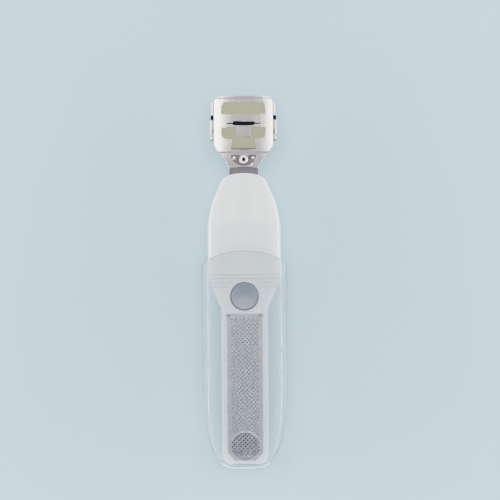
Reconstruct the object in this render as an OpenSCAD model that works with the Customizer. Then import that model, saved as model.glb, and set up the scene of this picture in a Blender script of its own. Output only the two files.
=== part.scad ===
// Callus shaver with a rasp: a blade head on a bottle-shaped handle, a rasp on the handle's tongue,
// and a sleeve that slides from one end to the other, so that it always covers the tool not in use.
// The tool lies on its back: the button looks along +Z and the blade head points along +Y.
// Lengths along Y are laid out from the button's centre, and placed() then centres the whole tool.

/* [Handle] */
// Width of the handle at its widest
body_w = 37.8; // [36:0.1:42]
// Depth of the handle at its widest
body_d = 13.4; // [12.6:0.1:16]
// From the button's centre to the top end of the handle
body_top = 63.7; // [58:0.1:72]
// Length over which the handle narrows to its neck
taper_l = 28.9; // [20:0.1:32]
// Width of the neck at the top end
neck_w = 20.6; // [19:0.1:26]
// Depth of the neck at the top end
neck_d = 9.6; // [7:0.1:12]
// Rounding of the two corners at the top end
neck_corner_r = 2; // [0.5:0.1:3]
// How far the arch of the top end rises in its middle
neck_arch = 1.9; // [1:0.1:3]
// From the button's centre up to where the hidden shoulders start
shoulder_y = 13.8; // [12:0.1:18]
// Length over which the shoulders narrow to the tongue
shoulder_l = 20.1; // [16:0.1:24]
// Width of the tongue that carries the rasp
tongue_w = 24; // [22.5:0.1:26]
// Depth of the tongue
tongue_d = 9.6; // [8:0.1:11]
// From the button's centre to the end of the tongue
tongue_l = 86.7; // [80:0.1:90]
// Rounding of the corners at the end of the tongue
tongue_end_r = 5; // [2:0.1:8]
// From the button's centre to the middle of the curved step on the handle
step_y = 26.8; // [25.5:0.1:30]
// How far the handle drops at that step
step_h = 0.35; // [0.1:0.05:0.5]
// Diameter of the pegs that join the two shells
peg_d = 3; // [2:0.1:4]
// Length of the pegs
peg_l = 3; // [2:0.1:4]
// Gap round the pegs in their sockets
peg_gap = 0.05; // [0.02:0.01:0.15]

/* [Button] */
// Diameter of the push button
button_d = 14; // [12:0.1:15]
// Gap between the button and its bore in the handle, seen as a dark ring
button_gap = 0.6; // [0.3:0.05:0.7]
// Depth of the dish in the button's face
dish_depth = 1.1; // [0.5:0.1:1.6]
// Width of the flat rim round the dish
button_rim = 0.8; // [0.4:0.1:1.5]
// How far the button's foot flange stands out
flange_out = 1.5; // [1:0.1:2]
// Thickness of the foot flange
flange_t = 1.4; // [1:0.1:2]
// Thickness of the handle's face above the flange
ledge_t = 2.4; // [2:0.1:3]
// How far the button rises when it snaps into a hole of the sleeve
pop_travel = 1.6; // [1.2:0.1:1.9]
// How far the button still goes down from where the sleeve holds it
press_travel = 1; // [0.5:0.1:1.5]
// Gap between the button's rim and the sleeve that slides over it
ride_gap = 0.3; // [0.2:0.05:0.5]
// Mean diameter of the button's coil spring
coil_d = 8.2; // [6:0.1:9]
// Diameter of the spring's wire
wire_d = 0.7; // [0.4:0.1:0.9]
// Turns of the spring
coil_turns = 5; // [4:1:7]

/* [Sleeve] */
// Wall of the sleeve
wall = 1.6; // [1.2:0.1:2]
// Gap between the handle and the sleeve at each side
side_gap = 1.6; // [1.2:0.1:2.5]
// Gap between the handle and the sleeve at the front and at the back
face_gap = 0.9; // [0.6:0.1:1.5]
// How much the back of the sleeve is flattened
back_flat = 0.4; // [0.2:0.05:0.6]
// From the button's centre to the middle of the sleeve's curved mouth
mouth_y = 23.7; // [22:0.1:25]
// How far the mouth's edge drops from its middle to its sides
mouth_drop = 5.9; // [3:0.1:8]
// Rounding of the mouth's two corners
mouth_corner_r = 1.4; // [0.5:0.1:3]
// From the button's centre to the rounded end of the sleeve
sleeve_end = 89; // [87.5:0.1:92]
// Length of the sleeve's rounded end
end_l = 50; // [40:0.5:55]
// Distance from one latch hole to the other, which is how far the sleeve slides
slide_travel = 77.8; // [70:0.1:79]
// Gap between the button and a latch hole
hole_gap = 0.5; // [0.3:0.05:0.8]
// Gap beside the tongue in the sleeve's lower mouth
tongue_gap = 0.6; // [0.4:0.1:1]
// Gap between the sleeve's two guide ribs and the handle
rib_gap = 0.3; // [0.2:0.05:0.5]
// Distance of the guide ribs from the middle
rib_x = 7; // [5:0.1:9]
// Width of a guide rib
rib_w = 1.4; // [1:0.1:2]
// Grip grooves across the front above the button
groove_count = 4; // [1:1:4]
// Distance between the grip grooves
groove_pitch = 2.2; // [1.6:0.1:2.4]
// Width of a grip groove
groove_w = 0.6; // [0.3:0.1:1]
// Depth of a grip groove
groove_depth = 0.35; // [0.1:0.05:0.6]
// From the button's centre to the highest grip groove
groove_y = 11.4; // [11:0.1:13]

/* [Rasp] */
// Width of the rasp foil over its folded sides
rasp_w = 18.6; // [17:0.1:20]
// Thickness of the rasp foil
foil_t = 0.4; // [0.3:0.05:0.5]
// Outer radius of the foil's folded sides
fold_r = 2.2; // [1.5:0.1:3]
// How high the foil stands above the tongue's face
foil_rise = 1; // [0.7:0.1:1.3]
// How deep the foil's sides go into the tongue
foil_leg = 2; // [1:0.1:3]
// From the button's centre to the foil's upper end
foil_top = 9.3; // [9.2:0.1:12]
// Gap between the foil's end and the tongue's end
foil_inset = 1.6; // [1:0.1:3]
// Corner cut off at the foil's lower end
foil_chamfer = 3; // [1:0.1:4]
// Distance between the rasp holes in a row
hole_pitch = 2.2; // [2:0.1:3]
// Width of a rasp hole across its corners
rasp_hole_d = 1; // [0.6:0.1:1.2]
// Width of the field of rasp holes
field_w = 13.4; // [10:0.1:13.8]
// Plain strip left at each end of the foil
field_inset = 2.6; // [2:0.1:5]

/* [Head] */
// Distance between the handle's top end and the head's plates
neck_gap = 2.5; // [1:0.1:4]
// Length of the head's plates
head_l = 38.4; // [37:0.1:42]
// Width of the cover plate
cover_w = 30.4; // [29:0.1:31]
// Width of the cover plate at the neck
cover_neck_w = 15.5; // [15:0.1:17]
// Height of the shallow arch in the plates' lower edge
plates_arch = 0.9; // [0.5:0.1:1.1]
// Length over which the cover plate widens from the neck
cover_taper_l = 11.9; // [10:0.1:13]
// Thickness of the cover plate
cover_t = 0.7; // [0.5:0.05:0.9]
// Outer radius of the cover plate's rolled top edge
roll_r = 2.6; // [2.2:0.1:3]
// Length of the straight edge below the roll
roll_leg = 1.6; // [0.5:0.1:2]
// Rounding of the cover plate's top corners
cover_corner_r = 3.6; // [2:0.1:5]
// Gap between the cover plate and the carrier plate's raised sides
rail_clear = 1.2; // [1.1:0.05:1.4]
// Thickness of the carrier plate
carrier_t = 0.8; // [0.6:0.05:0.9]
// Height of the carrier's raised sides above the plate
rail_h = 1.6; // [1.5:0.1:1.9]
// Length of the carrier's raised sides
rail_l = 19.9; // [18:0.1:22]
// Distance from the head's top edge down to the raised sides
rail_drop = 4.3; // [3.5:0.1:5]
// How much closer together the upper parts of the raised sides stand
rail_step = 0.7; // [0.3:0.05:0.9]
// Thickness of the tang that joins the head to the handle
tang_t = 1.2; // [0.8:0.1:1.6]
// Width of the tang inside the handle
tang_w = 11; // [9:0.1:13]
// Width of the tang where it shows at the neck
tang_neck_w = 15; // [14:0.1:15.4]
// How deep the tang reaches into the handle
tang_in = 22; // [18:0.1:26]
// From the plates' lower end to the lower edge of the narrow slot
slot_y = 22.2; // [21.5:0.1:23]
// Height of the narrow slot
slot_h = 2.3; // [1.8:0.1:2.8]
// Width of the narrow slot's tall middle
slot_w = 11; // [9:0.1:12]
// Width over the narrow slot's thin ends
slot_end_w = 17.6; // [16:0.1:19]
// Height of the narrow slot's thin ends
slot_end_h = 0.8; // [0.5:0.1:1.2]
// How far the blade's ends stop short of the outside of the raised sides
blade_short = 0.2; // [0.1:0.05:0.6]
// Width of the blade from its back to its edge
blade_h = 9.9; // [9:0.1:10.3]
// Length of the blade's edge part, whose ends lie in notches of the raised sides
blade_tab_h = 2.4; // [2:0.1:3]
// Thickness of the blade
blade_t = 0.4; // [0.3:0.05:0.6]
// Width of the ground edge of the blade
bevel_w = 0.9; // [0.5:0.1:1.5]
// How far the blade's edge stands above the slot's lower edge, under the bar between slot and window
edge_show = 5.3; // [4.8:0.1:5.5]
// Width of the windows of the cover plate
window_w = 23.1; // [21:0.1:24]
// Height of the upper window
window_h = 6.5; // [5:0.1:7]
// Plate between the narrow slot and the upper window
bridge_h = 3.5; // [2.5:0.1:4]
// Rounding of the windows' corners
window_r = 3; // [1:0.1:3.1]
// Plate between the narrow slot and the lower window
bar_h = 0.8; // [0.5:0.1:1.2]
// Height of the lower window's two side lobes
lobe_h = 6.2; // [5:0.1:7]
// Width of the lower window's stem
stem_w = 12.6; // [11:0.1:14]
// Height of the lower window's stem below the lobes
stem_h = 5.6; // [4:0.1:6]
// Height of the slot in the carrier plate at the foot of the stem
heel_h = 1; // [0.5:0.1:1.5]
// Width of the spring tab in the lower window
tab_w = 7.6; // [6:0.1:8.4]
// Length of the spring tab
tab_l = 4.5; // [3:0.1:6]
// From the plates' lower end to the eyelet
eyelet_y = 4.5; // [4.2:0.1:5]
// Diameter of the eyelet's flange
eyelet_d = 4.3; // [3.8:0.1:4.6]
// Diameter of the hole through the eyelet
eyelet_hole_d = 1.9; // [1.2:0.1:2.2]
// Width of the smile-shaped opening
smile_w = 13.8; // [13.4:0.1:14.4]
// Height of the smile-shaped opening
smile_h = 5.9; // [5.6:0.1:6.2]
// Diameter of the heads of the two side rivets
rivet_d = 2.1; // [1.6:0.1:2.2]
// Distance between the two side rivets
rivet_span = 9.8; // [9:0.1:10]

/* [Hidden] */
// The sub-parts, each a node of its own
$fn = 64;

// Exponents of the two section curves: a higher one makes a squarer section
sleeve_curve_x = 3.2;
sleeve_curve_z = 2.6;
body_curve = 4;
tongue_curve = 9;
// Exponents of the handle's taper and of its shoulders
taper_power = 1.9;
shoulder_power = 1.5;
// Exponents of the sleeve's rounded end
end_curve_x = 4;
end_curve_y = 2.5;

// Half sizes of the handle, and of the sleeve inside and outside
body_a = body_w / 2;
body_b = body_d / 2;
inner_a = body_a + side_gap;
inner_b = body_b + face_gap;
outer_a = inner_a + wall;
outer_b = inner_b + wall;
hole_d = button_d + 2 * hole_gap;

// Height of the joint plane of the shells, which is also the middle of the tang
mid_z = outer_b - back_flat;
face_z = mid_z + body_b - step_h;
tongue_front_z = mid_z + tongue_d / 2;
tongue_a = tongue_w / 2;
neck_a = neck_w / 2;
neck_edge_y = body_top - neck_arch;
taper_y = neck_edge_y + 1 - taper_l;
tongue_y = shoulder_y - shoulder_l;
rise = 0.1;

// Heights of the button: its rim rides under the sleeve, and its flange under the handle's face
bore_d = button_d + 2 * button_gap;
flange_d = button_d + 2 * flange_out;
flange_bore_d = flange_d + 2 * button_gap;
sleeve_over_rim_z = mid_z + inner_b * pow(1 - pow(button_d / 2 / inner_a, sleeve_curve_x), 1 / sleeve_curve_z);
rim_z = sleeve_over_rim_z - ride_gap;
ledge_z = face_z - ledge_t;
flange_top_z = ledge_z - pop_travel - rise;
flange_z = flange_top_z - flange_t;
stop_z = flange_z - press_travel - rise;
well_d = coil_d + wire_d + 1;
well_z = mid_z - body_b + 2;
cap_t = 1.6;
spring_top_z = rim_z - dish_depth - cap_t;

// Widths of the carrier plate over its raised sides and of the blade
carrier_w = cover_w + 2 * (rail_clear + carrier_t);
blade_w = carrier_w - 2 * blade_short;
blade_body_w = blade_w - 4 * carrier_t;

// Heights of the head's layers, from the tang to the cover plate
tang_top_z = mid_z + tang_t / 2;
carrier_top_z = tang_top_z + carrier_t;
blade_top_z = carrier_top_z + blade_t;
cover_top_z = blade_top_z + cover_t;
plates_y = body_top + neck_gap;
head_top_y = plates_y + head_l;
tang_head_l = 12;
tang_neck_in = neck_arch + 3;
blade_edge_y = plates_y + slot_y + edge_show;
blade_back_y = blade_edge_y - blade_h;
rail_top_y = head_top_y - rail_drop;
rail_bottom_y = rail_top_y - rail_l;
// Notches in the raised sides: one for the blade's ends, and a relief cut lower down
blade_tab_y = blade_edge_y - blade_tab_h;
tab_gap = 0.3;
relief_y = rail_bottom_y + 2.2;
relief_h = 1.1;
lobe_top_y = plates_y + slot_y - bar_h;
lobe_bottom_y = lobe_top_y - lobe_h;
stem_bottom_y = lobe_bottom_y - stem_h;
// The carrier plate's mouth starts this far behind the cutting edge and ends at the upper window
mouth_behind = 0.6;
window_bottom_y = plates_y + slot_y + slot_h + bridge_h;
step_down_y = stem_bottom_y - 1.6;
smile_y = plates_y + eyelet_y - 3.4;

// Height of the rasp foil
foil_z = tongue_front_z + foil_rise;
foil_leg_z = tongue_front_z - foil_leg;
foil_end_y = foil_inset - tongue_l;

// The whole tool is centred along Y
centre_y = (head_top_y - sleeve_end) / 2;

// A point of a squared oval
function squared(a, b, p, q, t) = [
  a * sign(cos(t)) * pow(abs(cos(t)), 2 / p),
  b * sign(sin(t)) * pow(abs(sin(t)), 2 / q)
];

// How far a corner of radius r has come in at distance t past its start
function corner(t, r) = t <= 0 ? 0 : r - sqrt(max(0, r * r - min(t, r) * min(t, r)));

// A value that goes smoothly from 0 to 1
function smooth(t) = t <= 0 ? 0 : t >= 1 ? 1 : t * t * (3 - 2 * t);

function mix(a, b, t) = a + (b - a) * t;

// Half width of the handle where its edge is at y
function handle_a(y) =
  y > taper_y ? body_a - (body_a - neck_a) * pow(min(1, (y - taper_y) / taper_l), taper_power)
    - corner(y - neck_edge_y + neck_corner_r, neck_corner_r)
  : y > shoulder_y ? body_a
  : y > tongue_y ? body_a - (body_a - tongue_a) * pow((shoulder_y - y) / shoulder_l, shoulder_power)
  : tongue_a - corner(tongue_end_r - tongue_l - y, tongue_end_r);

// Half depth of the handle where its edge is at y, less the step on its lower part
function handle_b(y) =
  y < -foil_top + rise ? tongue_d / 2
  : y < step_edge_y ? body_b - step_h
  : mix(body_b, neck_d / 2, smooth((y - taper_y) / taper_l));

// How far a ring bows up in the middle of the handle, per square of its width
function bow(y) = mouth_drop / (outer_a * outer_a) * smooth((y - tongue_y) / (shoulder_y - tongue_y));

// Places of the rings that the handle is drawn through, from the top end down
step_edge_y = step_y - mouth_drop * pow(body_a / outer_a, 2);
ring_y = concat(
  [body_top + 3],
  [for (i = [0:4]) neck_edge_y - neck_corner_r * (1 - cos(i * 22.5)) + rise / 10],
  [for (i = [1:11]) neck_edge_y - neck_corner_r - i * (taper_l - neck_corner_r) / 11],
  [step_edge_y + rise, step_edge_y - 6 * rise],
  [for (i = [0:9]) shoulder_y - i * shoulder_l / 10],
  [tongue_y, -foil_top + 2 * rise, -foil_top],
  [for (i = [0:6]) -tongue_l + tongue_end_r * (1 - sin(i * 15))]
);

// Front half of the handle, drawn through half rings that stand on the joint plane
module half_handle() {
  n = 24;
  points = [
    for (y = ring_y)
      let (a = handle_a(y), b = handle_b(y), p = y < -foil_top + rise ? tongue_curve : body_curve)
        for (i = [0:n])
          let (s = squared(a, b, p, p, 180 * i / n))
            [s[0], y + bow(y) * (a * a - s[0] * s[0]), i % n == 0 ? 0 : s[1]]
  ];
  m = n + 1;
  sides = [
    for (j = [0:len(ring_y) - 2]) for (i = [0:n])
      let (k = (i + 1) % m) [j * m + i, (j + 1) * m + i, (j + 1) * m + k, j * m + k]
  ];
  split = [for (f = sides) each [[f[0], f[1], f[2]], [f[0], f[2], f[3]]]];
  last = (len(ring_y) - 1) * m;
  caps = [[for (i = [0:n]) i], [for (i = [n:-1:0]) last + i]];
  translate([0, 0, mid_z]) polyhedron(points, concat(split, caps));
}

// Puts a sub-part that is laid out from the button's centre in its place in the tool
module placed() {
  translate([0, -centre_y, 0]) children();
}

// Extrudes a section that is drawn in X and Z from y0 to y1
module along_y(y0, y1) {
  translate([0, y1, 0]) rotate([90, 0, 0]) linear_extrude(y1 - y0) children();
}

// Extrudes an outline that is drawn in X and Y from z0 to z1
module upright(z0, z1) {
  translate([0, 0, z0]) linear_extrude(z1 - z0) children();
}

// Section of the sleeve, with half sizes a and b
module sleeve_section(a, b) {
  n = 96;
  translate([0, mid_z])
    polygon([for (i = [0:n - 1]) squared(a, b, sleeve_curve_x, sleeve_curve_z, 360 * i / n)]);
}

// Outline of the sleeve from the front, drawn in by inset, with its mouth at top
module sleeve_outline(inset, top) {
  a = outer_a - inset;
  l = end_l - inset;
  n = 30;
  mouth = [for (i = [-12:12]) [a * i / 12, top - mouth_drop * pow(i / 12, 2)]];
  end = [
    for (i = [0:n]) let (s = squared(a, l, end_curve_x, end_curve_y, -180 * i / n))
      [s[0], end_l - sleeve_end + s[1]]
  ];
  polygon(concat(mouth, end));
}

module sleeve() {
  color([0.67, 0.75, 0.8, 0.6]) placed() {
    difference() {
      intersection() {
        along_y(-sleeve_end - 1, mouth_y + 1) intersection() {
          sleeve_section(outer_a, outer_b);
          translate([-outer_a, 0]) square([2 * outer_a, 3 * outer_b]);
        }
        upright(-1, 3 * outer_b)
          offset(r = mouth_corner_r) offset(delta = -mouth_corner_r) sleeve_outline(0, mouth_y);
      }
      intersection() {
        along_y(-sleeve_end - 1, mouth_y + 1) sleeve_section(inner_a, inner_b);
        upright(-1, 3 * outer_b) union() {
          sleeve_outline(wall, mouth_y + 2 * mouth_drop);
          translate([-tongue_a - tongue_gap, -sleeve_end - 1])
            square([tongue_w + 2 * tongue_gap, end_l]);
        }
      }
      for (y = [0, -slide_travel]) translate([0, y, mid_z]) cylinder(d = hole_d, h = 2 * outer_b);
      grip_grooves();
    }
    guide_ribs();
  }
}

// Shallow grooves across the sleeve's front, which stop short of the upper latch hole
module grip_grooves() {
  half = body_a - 1;
  difference() {
    for (i = [0:groove_count - 1]) translate([0, groove_y - i * groove_pitch, 0])
      along_y(-groove_w / 2, groove_w / 2) difference() {
        translate([-half, mid_z]) square([2 * half, 2 * outer_b]);
        sleeve_section(outer_a, outer_b - groove_depth);
      }
    cylinder(d = hole_d + 3, h = 3 * outer_b);
  }
}

// Two ribs inside the sleeve's back, on which the handle runs
module guide_ribs() {
  top = mid_z - body_b * pow(1 - pow((rib_x + rib_w / 2) / body_a, body_curve), 1 / body_curve) - rib_gap;
  start = wall + 3 - sleeve_end;
  end = mouth_y - mouth_drop - rise;
  for (s = [-1, 1]) translate([s * rib_x - rib_w / 2, start, wall / 2])
    cube([rib_w, end - start, top - wall / 2]);
}

// Pegs of the front shell, or with a gap their sockets in the back shell
module pegs(gap) {
  upper = [for (s = [-1, 1]) [s * 0.74 * body_a, taper_y - peg_d]];
  lower = [for (t = [0.28, 0.58, 0.88]) [0, -t * tongue_l]];
  for (p = concat(upper, lower)) translate([p[0], p[1], mid_z - peg_l - gap])
    cylinder(d = peg_d + 2 * gap, h = peg_l + gap + rise);
}

// Pegs that pin the tang between the shells, or with a gap their holes
module tang_pegs(gap) {
  for (t = [0.4, 0.8]) translate([0, body_top - t * tang_in, mid_z - peg_l - gap])
    cylinder(d = peg_d + 2 * gap, h = peg_l + gap + tang_t / 2 + rise);
}

// Outline of the tang: a narrow strip inside the handle and a wide one through the neck
module tang_outline() {
  translate([-tang_w / 2, body_top - tang_in]) square([tang_w, tang_in]);
  offset(r = 1) offset(delta = -1) translate([-tang_neck_w / 2, body_top - tang_neck_in])
    square([tang_neck_w, tang_neck_in + neck_gap + tang_head_l]);
}

// Room for the tang between the two shells
module tang_pocket() {
  upright(mid_z - tang_t / 2, mid_z + tang_t / 2) offset(delta = peg_gap) tang_outline();
}

// Room above the handle's arched top end
module top_end_cut() {
  r = (neck_a * neck_a + neck_arch * neck_arch) / (2 * neck_arch);
  difference() {
    translate([-body_a, body_top - 2 * neck_arch, 0]) cube([body_w, body_w, 3 * outer_b]);
    translate([0, body_top - r, -1]) cylinder(r = r, h = 3 * outer_b + 2);
  }
}

// Section of the rasp foil and of what lies inside it, from low up, with its skin drawn in by inset
module foil_section(inset, low) {
  a = rasp_w / 2 - inset;
  r = fold_r - inset;
  top = foil_z - inset;
  intersection() {
    union() {
      for (s = [-1, 1]) translate([s * (a - r), top - r]) circle(r);
      translate([-a + r, low]) square([2 * (a - r), top - low]);
      translate([-a, low - 2 * r]) square([2 * a, top - low + r]);
    }
    translate([-a, low]) square([2 * a, top - low]);
  }
}

module front_shell() {
  color([0.83, 0.85, 0.86]) placed() {
    difference() {
      half_handle();
      top_end_cut();
      tang_pocket();
      translate([0, 0, ledge_z - 1]) cylinder(d = bore_d, h = body_d);
      translate([0, 0, mid_z - 1]) cylinder(d = flange_bore_d, h = ledge_z - mid_z + 1);
      along_y(foil_end_y, -foil_top) foil_section(-peg_gap, foil_leg_z);
    }
    along_y(foil_end_y, -foil_top) foil_section(foil_t, foil_leg_z - 1);
    pegs(0);
    tang_pegs(0);
  }
}

module back_shell() {
  color([0.8, 0.82, 0.84]) placed() difference() {
    translate([0, 0, 2 * mid_z]) mirror([0, 0, 1]) half_handle();
    top_end_cut();
    tang_pocket();
    pegs(peg_gap);
    tang_pegs(peg_gap);
    translate([0, 0, stop_z]) cylinder(d = flange_bore_d, h = body_d);
    translate([0, 0, well_z]) cylinder(d = well_d, h = body_d);
  }
}

// The cap is dished, and its hollow underside takes the spring
module button() {
  color([0.53, 0.57, 0.63]) placed() {
    dish_a = button_d / 2 - button_rim;
    dish_r = (dish_a * dish_a + dish_depth * dish_depth) / (2 * dish_depth);
    difference() {
      union() {
        translate([0, 0, flange_z]) cylinder(d = flange_d, h = flange_t);
        translate([0, 0, flange_z]) cylinder(d = button_d, h = rim_z - flange_z);
      }
      translate([0, 0, rim_z - dish_depth + dish_r]) sphere(dish_r);
      translate([0, 0, flange_z - 1]) cylinder(d = well_d, h = spring_top_z - flange_z + 1);
    }
  }
}

// A round wire swept along a helix from the well's floor to the button's underside
module button_spring() {
  sides = 8;
  per_turn = 16;
  rings = per_turn * coil_turns;
  low = well_z + wire_d / 2;
  high = spring_top_z - wire_d / 2;
  points = [
    for (j = [0:rings]) for (i = [0:sides - 1])
      let (t = 360 * j / per_turn, s = 360 * i / sides, r = coil_d / 2 + wire_d / 2 * cos(s))
        [r * cos(t), r * sin(t), mix(low, high, j / rings) + wire_d / 2 * sin(s)]
  ];
  skin = [
    for (j = [0:rings - 1]) for (i = [0:sides - 1])
      let (k = (i + 1) % sides, a = j * sides, b = a + sides) each [
        [a + i, a + k, b + k],
        [a + i, b + k, b + i]
      ]
  ];
  ends = [[for (i = [sides - 1:-1:0]) i], [for (i = [0:sides - 1]) rings * sides + i]];
  color([0.7, 0.71, 0.73]) placed() polyhedron(points, concat(skin, ends));
}

// A folded foil with staggered rows of cutting holes
module rasp_foil() {
  row = hole_pitch / 2;
  first = -foil_top - field_inset;
  rows = floor((first - foil_end_y - field_inset) / row);
  columns = floor(field_w / hole_pitch);
  color([0.65, 0.66, 0.7]) placed() difference() {
    along_y(foil_end_y, -foil_top) difference() {
      foil_section(0, foil_leg_z + peg_gap);
      foil_section(foil_t, foil_leg_z - 1);
    }
    for (j = [0:rows]) for (i = [0:columns - j % 2])
      translate([(i - (columns - j % 2) / 2) * hole_pitch, first - j * row, foil_z - 2 * foil_t])
        cylinder(d = rasp_hole_d, h = 3 * foil_t, $fn = 4);
    for (s = [-1, 1]) translate([s * rasp_w / 2, foil_end_y, 0]) rotate(45)
      translate([-foil_chamfer, -foil_chamfer, 0]) cube([2 * foil_chamfer, 2 * foil_chamfer, 3 * outer_b]);
  }
}

// A flat strip that is pinned in the handle and carries the plates
module tang() {
  color([0.5, 0.48, 0.53]) placed() difference() {
    upright(mid_z - tang_t / 2, tang_top_z) tang_outline();
    tang_pegs(peg_gap);
    head_rivet_holes();
  }
}

// Holes for the eyelet and the two side rivets
module head_rivet_holes() {
  translate([0, plates_y + eyelet_y, 0]) cylinder(d = eyelet_hole_d + 1.2, h = 3 * outer_b);
  for (s = [-1, 1]) translate([s * rivet_span / 2, plates_y + eyelet_y + 0.9, 0])
    cylinder(d = rivet_d - 0.6, h = 3 * outer_b);
}

// Outline of a plate that widens from the neck, up to top
module plate_outline(w, neck, top, taper, corner_r) {
  offset(r = corner_r) offset(delta = -corner_r) polygon([
    [-neck / 2, plates_y - corner_r], [neck / 2, plates_y - corner_r], [neck / 2, plates_y + 0.1 * taper],
    [w / 2 - 0.66 * (w - neck) / 2, plates_y + 0.42 * taper], [w / 2, plates_y + taper],
    [w / 2, top], [-w / 2, top], [-w / 2, plates_y + taper],
    [-w / 2 + 0.66 * (w - neck) / 2, plates_y + 0.42 * taper], [-neck / 2, plates_y + 0.1 * taper]
  ]);
}

// The satin plate under the blade, with raised sides and a mouth below the cutting edge
module carrier_plate() {
  a = carrier_w / 2;
  bend = carrier_t;
  color([0.68, 0.69, 0.61]) placed() difference() {
    union() {
      intersection() {
        upright(tang_top_z, carrier_top_z) union() {
          plate_outline(cover_w - 1, cover_neck_w, rail_top_y + 1, cover_taper_l, 0.6);
          translate([-a + rail_step + 2 * bend, rail_bottom_y]) square([2 * (a - rail_step - 2 * bend), rail_l]);
          translate([-a + 2 * bend, rail_bottom_y]) square([2 * (a - 2 * bend), blade_edge_y - rail_bottom_y]);
        }
        translate([-a, plates_y, 0]) cube([2 * a, head_l, 3 * outer_b]);
      }
      for (s = [0, 1]) mirror([s, 0, 0]) {
        along_y(rail_bottom_y, blade_edge_y) raised_side(a, bend);
        along_y(blade_edge_y, rail_top_y) raised_side(a - rail_step, bend);
      }
    }
    rail_notch(blade_tab_y - tab_gap, blade_edge_y + tab_gap);
    rail_notch(relief_y, relief_y + relief_h);
    translate([-window_w / 2, blade_edge_y - mouth_behind, 0])
      cube([window_w, window_bottom_y - blade_edge_y + mouth_behind, 3 * outer_b]);
    upright(0, 3 * outer_b) lower_arch();
    translate([-stem_w / 2, stem_bottom_y, 0]) cube([stem_w, heel_h, 3 * outer_b]);
    upright(0, 3 * outer_b) difference() {
      offset(delta = -0.2) smile_opening();
      translate([0, plates_y + eyelet_y]) circle(d = eyelet_d - 0.1);
    }
    head_rivet_holes();
  }
}

// Section of one raised side: a foot in the plate, a quarter bend and a short upright
module raised_side(a, bend) {
  translate([a - 2 * bend - rise, tang_top_z]) square([2 * rise, bend]);
  intersection() {
    translate([a - 2 * bend, tang_top_z + 2 * bend]) difference() {
      circle(2 * bend);
      circle(bend);
    }
    translate([a - 2 * bend, tang_top_z]) square(2 * bend);
  }
  translate([a - bend, tang_top_z + 2 * bend]) square([bend, rail_h - bend]);
}

// Gap in the raised sides
module rail_notch(y0, y1) {
  for (s = [0, 1]) mirror([s, 0, 0])
    translate([cover_w / 2 - 0.5, y0, 0]) cube([carrier_w, y1 - y0, 3 * outer_b]);
}

// Section of the cover plate along the head: it steps down to the rivets and rolls back at the top
module cover_profile() {
  z0 = carrier_top_z;
  z1 = blade_top_z;
  y2 = head_top_y - roll_r;
  polygon([
    [plates_y - 1, z0], [step_down_y, z0], [step_down_y + 1, z1], [y2, z1],
    [y2, z1 + cover_t], [step_down_y + 0.8, z1 + cover_t], [step_down_y - 0.2, z0 + cover_t],
    [plates_y - 1, z0 + cover_t]
  ]);
  intersection() {
    translate([y2, cover_top_z - roll_r]) difference() {
      circle(roll_r);
      circle(roll_r - cover_t);
    }
    translate([y2, cover_top_z - roll_r]) square(2 * roll_r);
  }
  translate([head_top_y - cover_t, cover_top_z - roll_r - roll_leg]) square([cover_t, roll_leg]);
}

// The mirror-bright cover, which presses the blade down with its spring tab
module cover_plate() {
  color([0.86, 0.86, 0.84]) placed() difference() {
    intersection() {
      rotate([90, 0, 90]) translate([0, 0, -cover_w / 2 - 1]) linear_extrude(cover_w + 2) cover_profile();
      upright(0, 3 * outer_b) intersection() {
        plate_outline(cover_w, cover_neck_w, head_top_y, cover_taper_l, cover_corner_r);
        translate([-cover_w, plates_y]) square([2 * cover_w, 2 * head_l]);
      }
    }
    upright(0, 3 * outer_b) {
      upper_window();
      narrow_slot();
      lower_window();
      smile_opening();
      lower_arch();
    }
  }
}

// Shallow arch in the plates' lower edge
module lower_arch() {
  a = cover_neck_w / 2 - 0.75;
  r = (a * a + plates_arch * plates_arch) / (2 * plates_arch);
  translate([0, plates_y + plates_arch - r]) circle(r);
}

module upper_window() {
  r = window_r;
  a = window_w / 2;
  top = window_bottom_y + window_h;
  translate([-a, window_bottom_y]) square([2 * a, window_h - r]);
  translate([-a + r, top - r - rise]) square([2 * (a - r), r + rise]);
  for (s = [-1, 1]) translate([s * (a - r), top - r]) circle(r);
}

module narrow_slot() {
  y = plates_y + slot_y;
  translate([-slot_w / 2, y]) square([slot_w, slot_h]);
  translate([-slot_end_w / 2, y + (slot_h - slot_end_h) / 2]) square([slot_end_w, slot_end_h]);
}

// Two lobes and a stem, with the spring tab left standing in the middle
module lower_window() {
  r = window_r;
  a = window_w / 2;
  difference() {
    union() {
      translate([-a, lobe_bottom_y + r]) square([2 * a, lobe_h - r]);
      translate([-a + r, lobe_bottom_y]) square([2 * (a - r), r + rise]);
      for (s = [-1, 1]) translate([s * (a - r), lobe_bottom_y + r]) circle(r);
      polygon([
        [-stem_w / 2 + 0.4, lobe_bottom_y + rise], [stem_w / 2 - 0.4, lobe_bottom_y + rise],
        [stem_w / 2 + 0.3, stem_bottom_y], [-stem_w / 2 - 0.3, stem_bottom_y]
      ]);
    }
    translate([-tab_w / 2, lobe_top_y - tab_l]) square([tab_w, tab_l + 1]);
  }
}

// Smile-shaped opening round the rivets, with a lip in the middle that the eyelet clamps
module smile_opening() {
  r = (smile_w * smile_w / 4 + smile_h * smile_h) / (2 * smile_h);
  difference() {
    intersection() {
      translate([0, smile_y + r]) circle(r);
      translate([-smile_w, smile_y - 1]) square([2 * smile_w, smile_h + 1]);
    }
    translate([-1.6, plates_y + eyelet_y + eyelet_d / 2 - 0.6]) square([3.2, smile_h]);
  }
}

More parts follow.
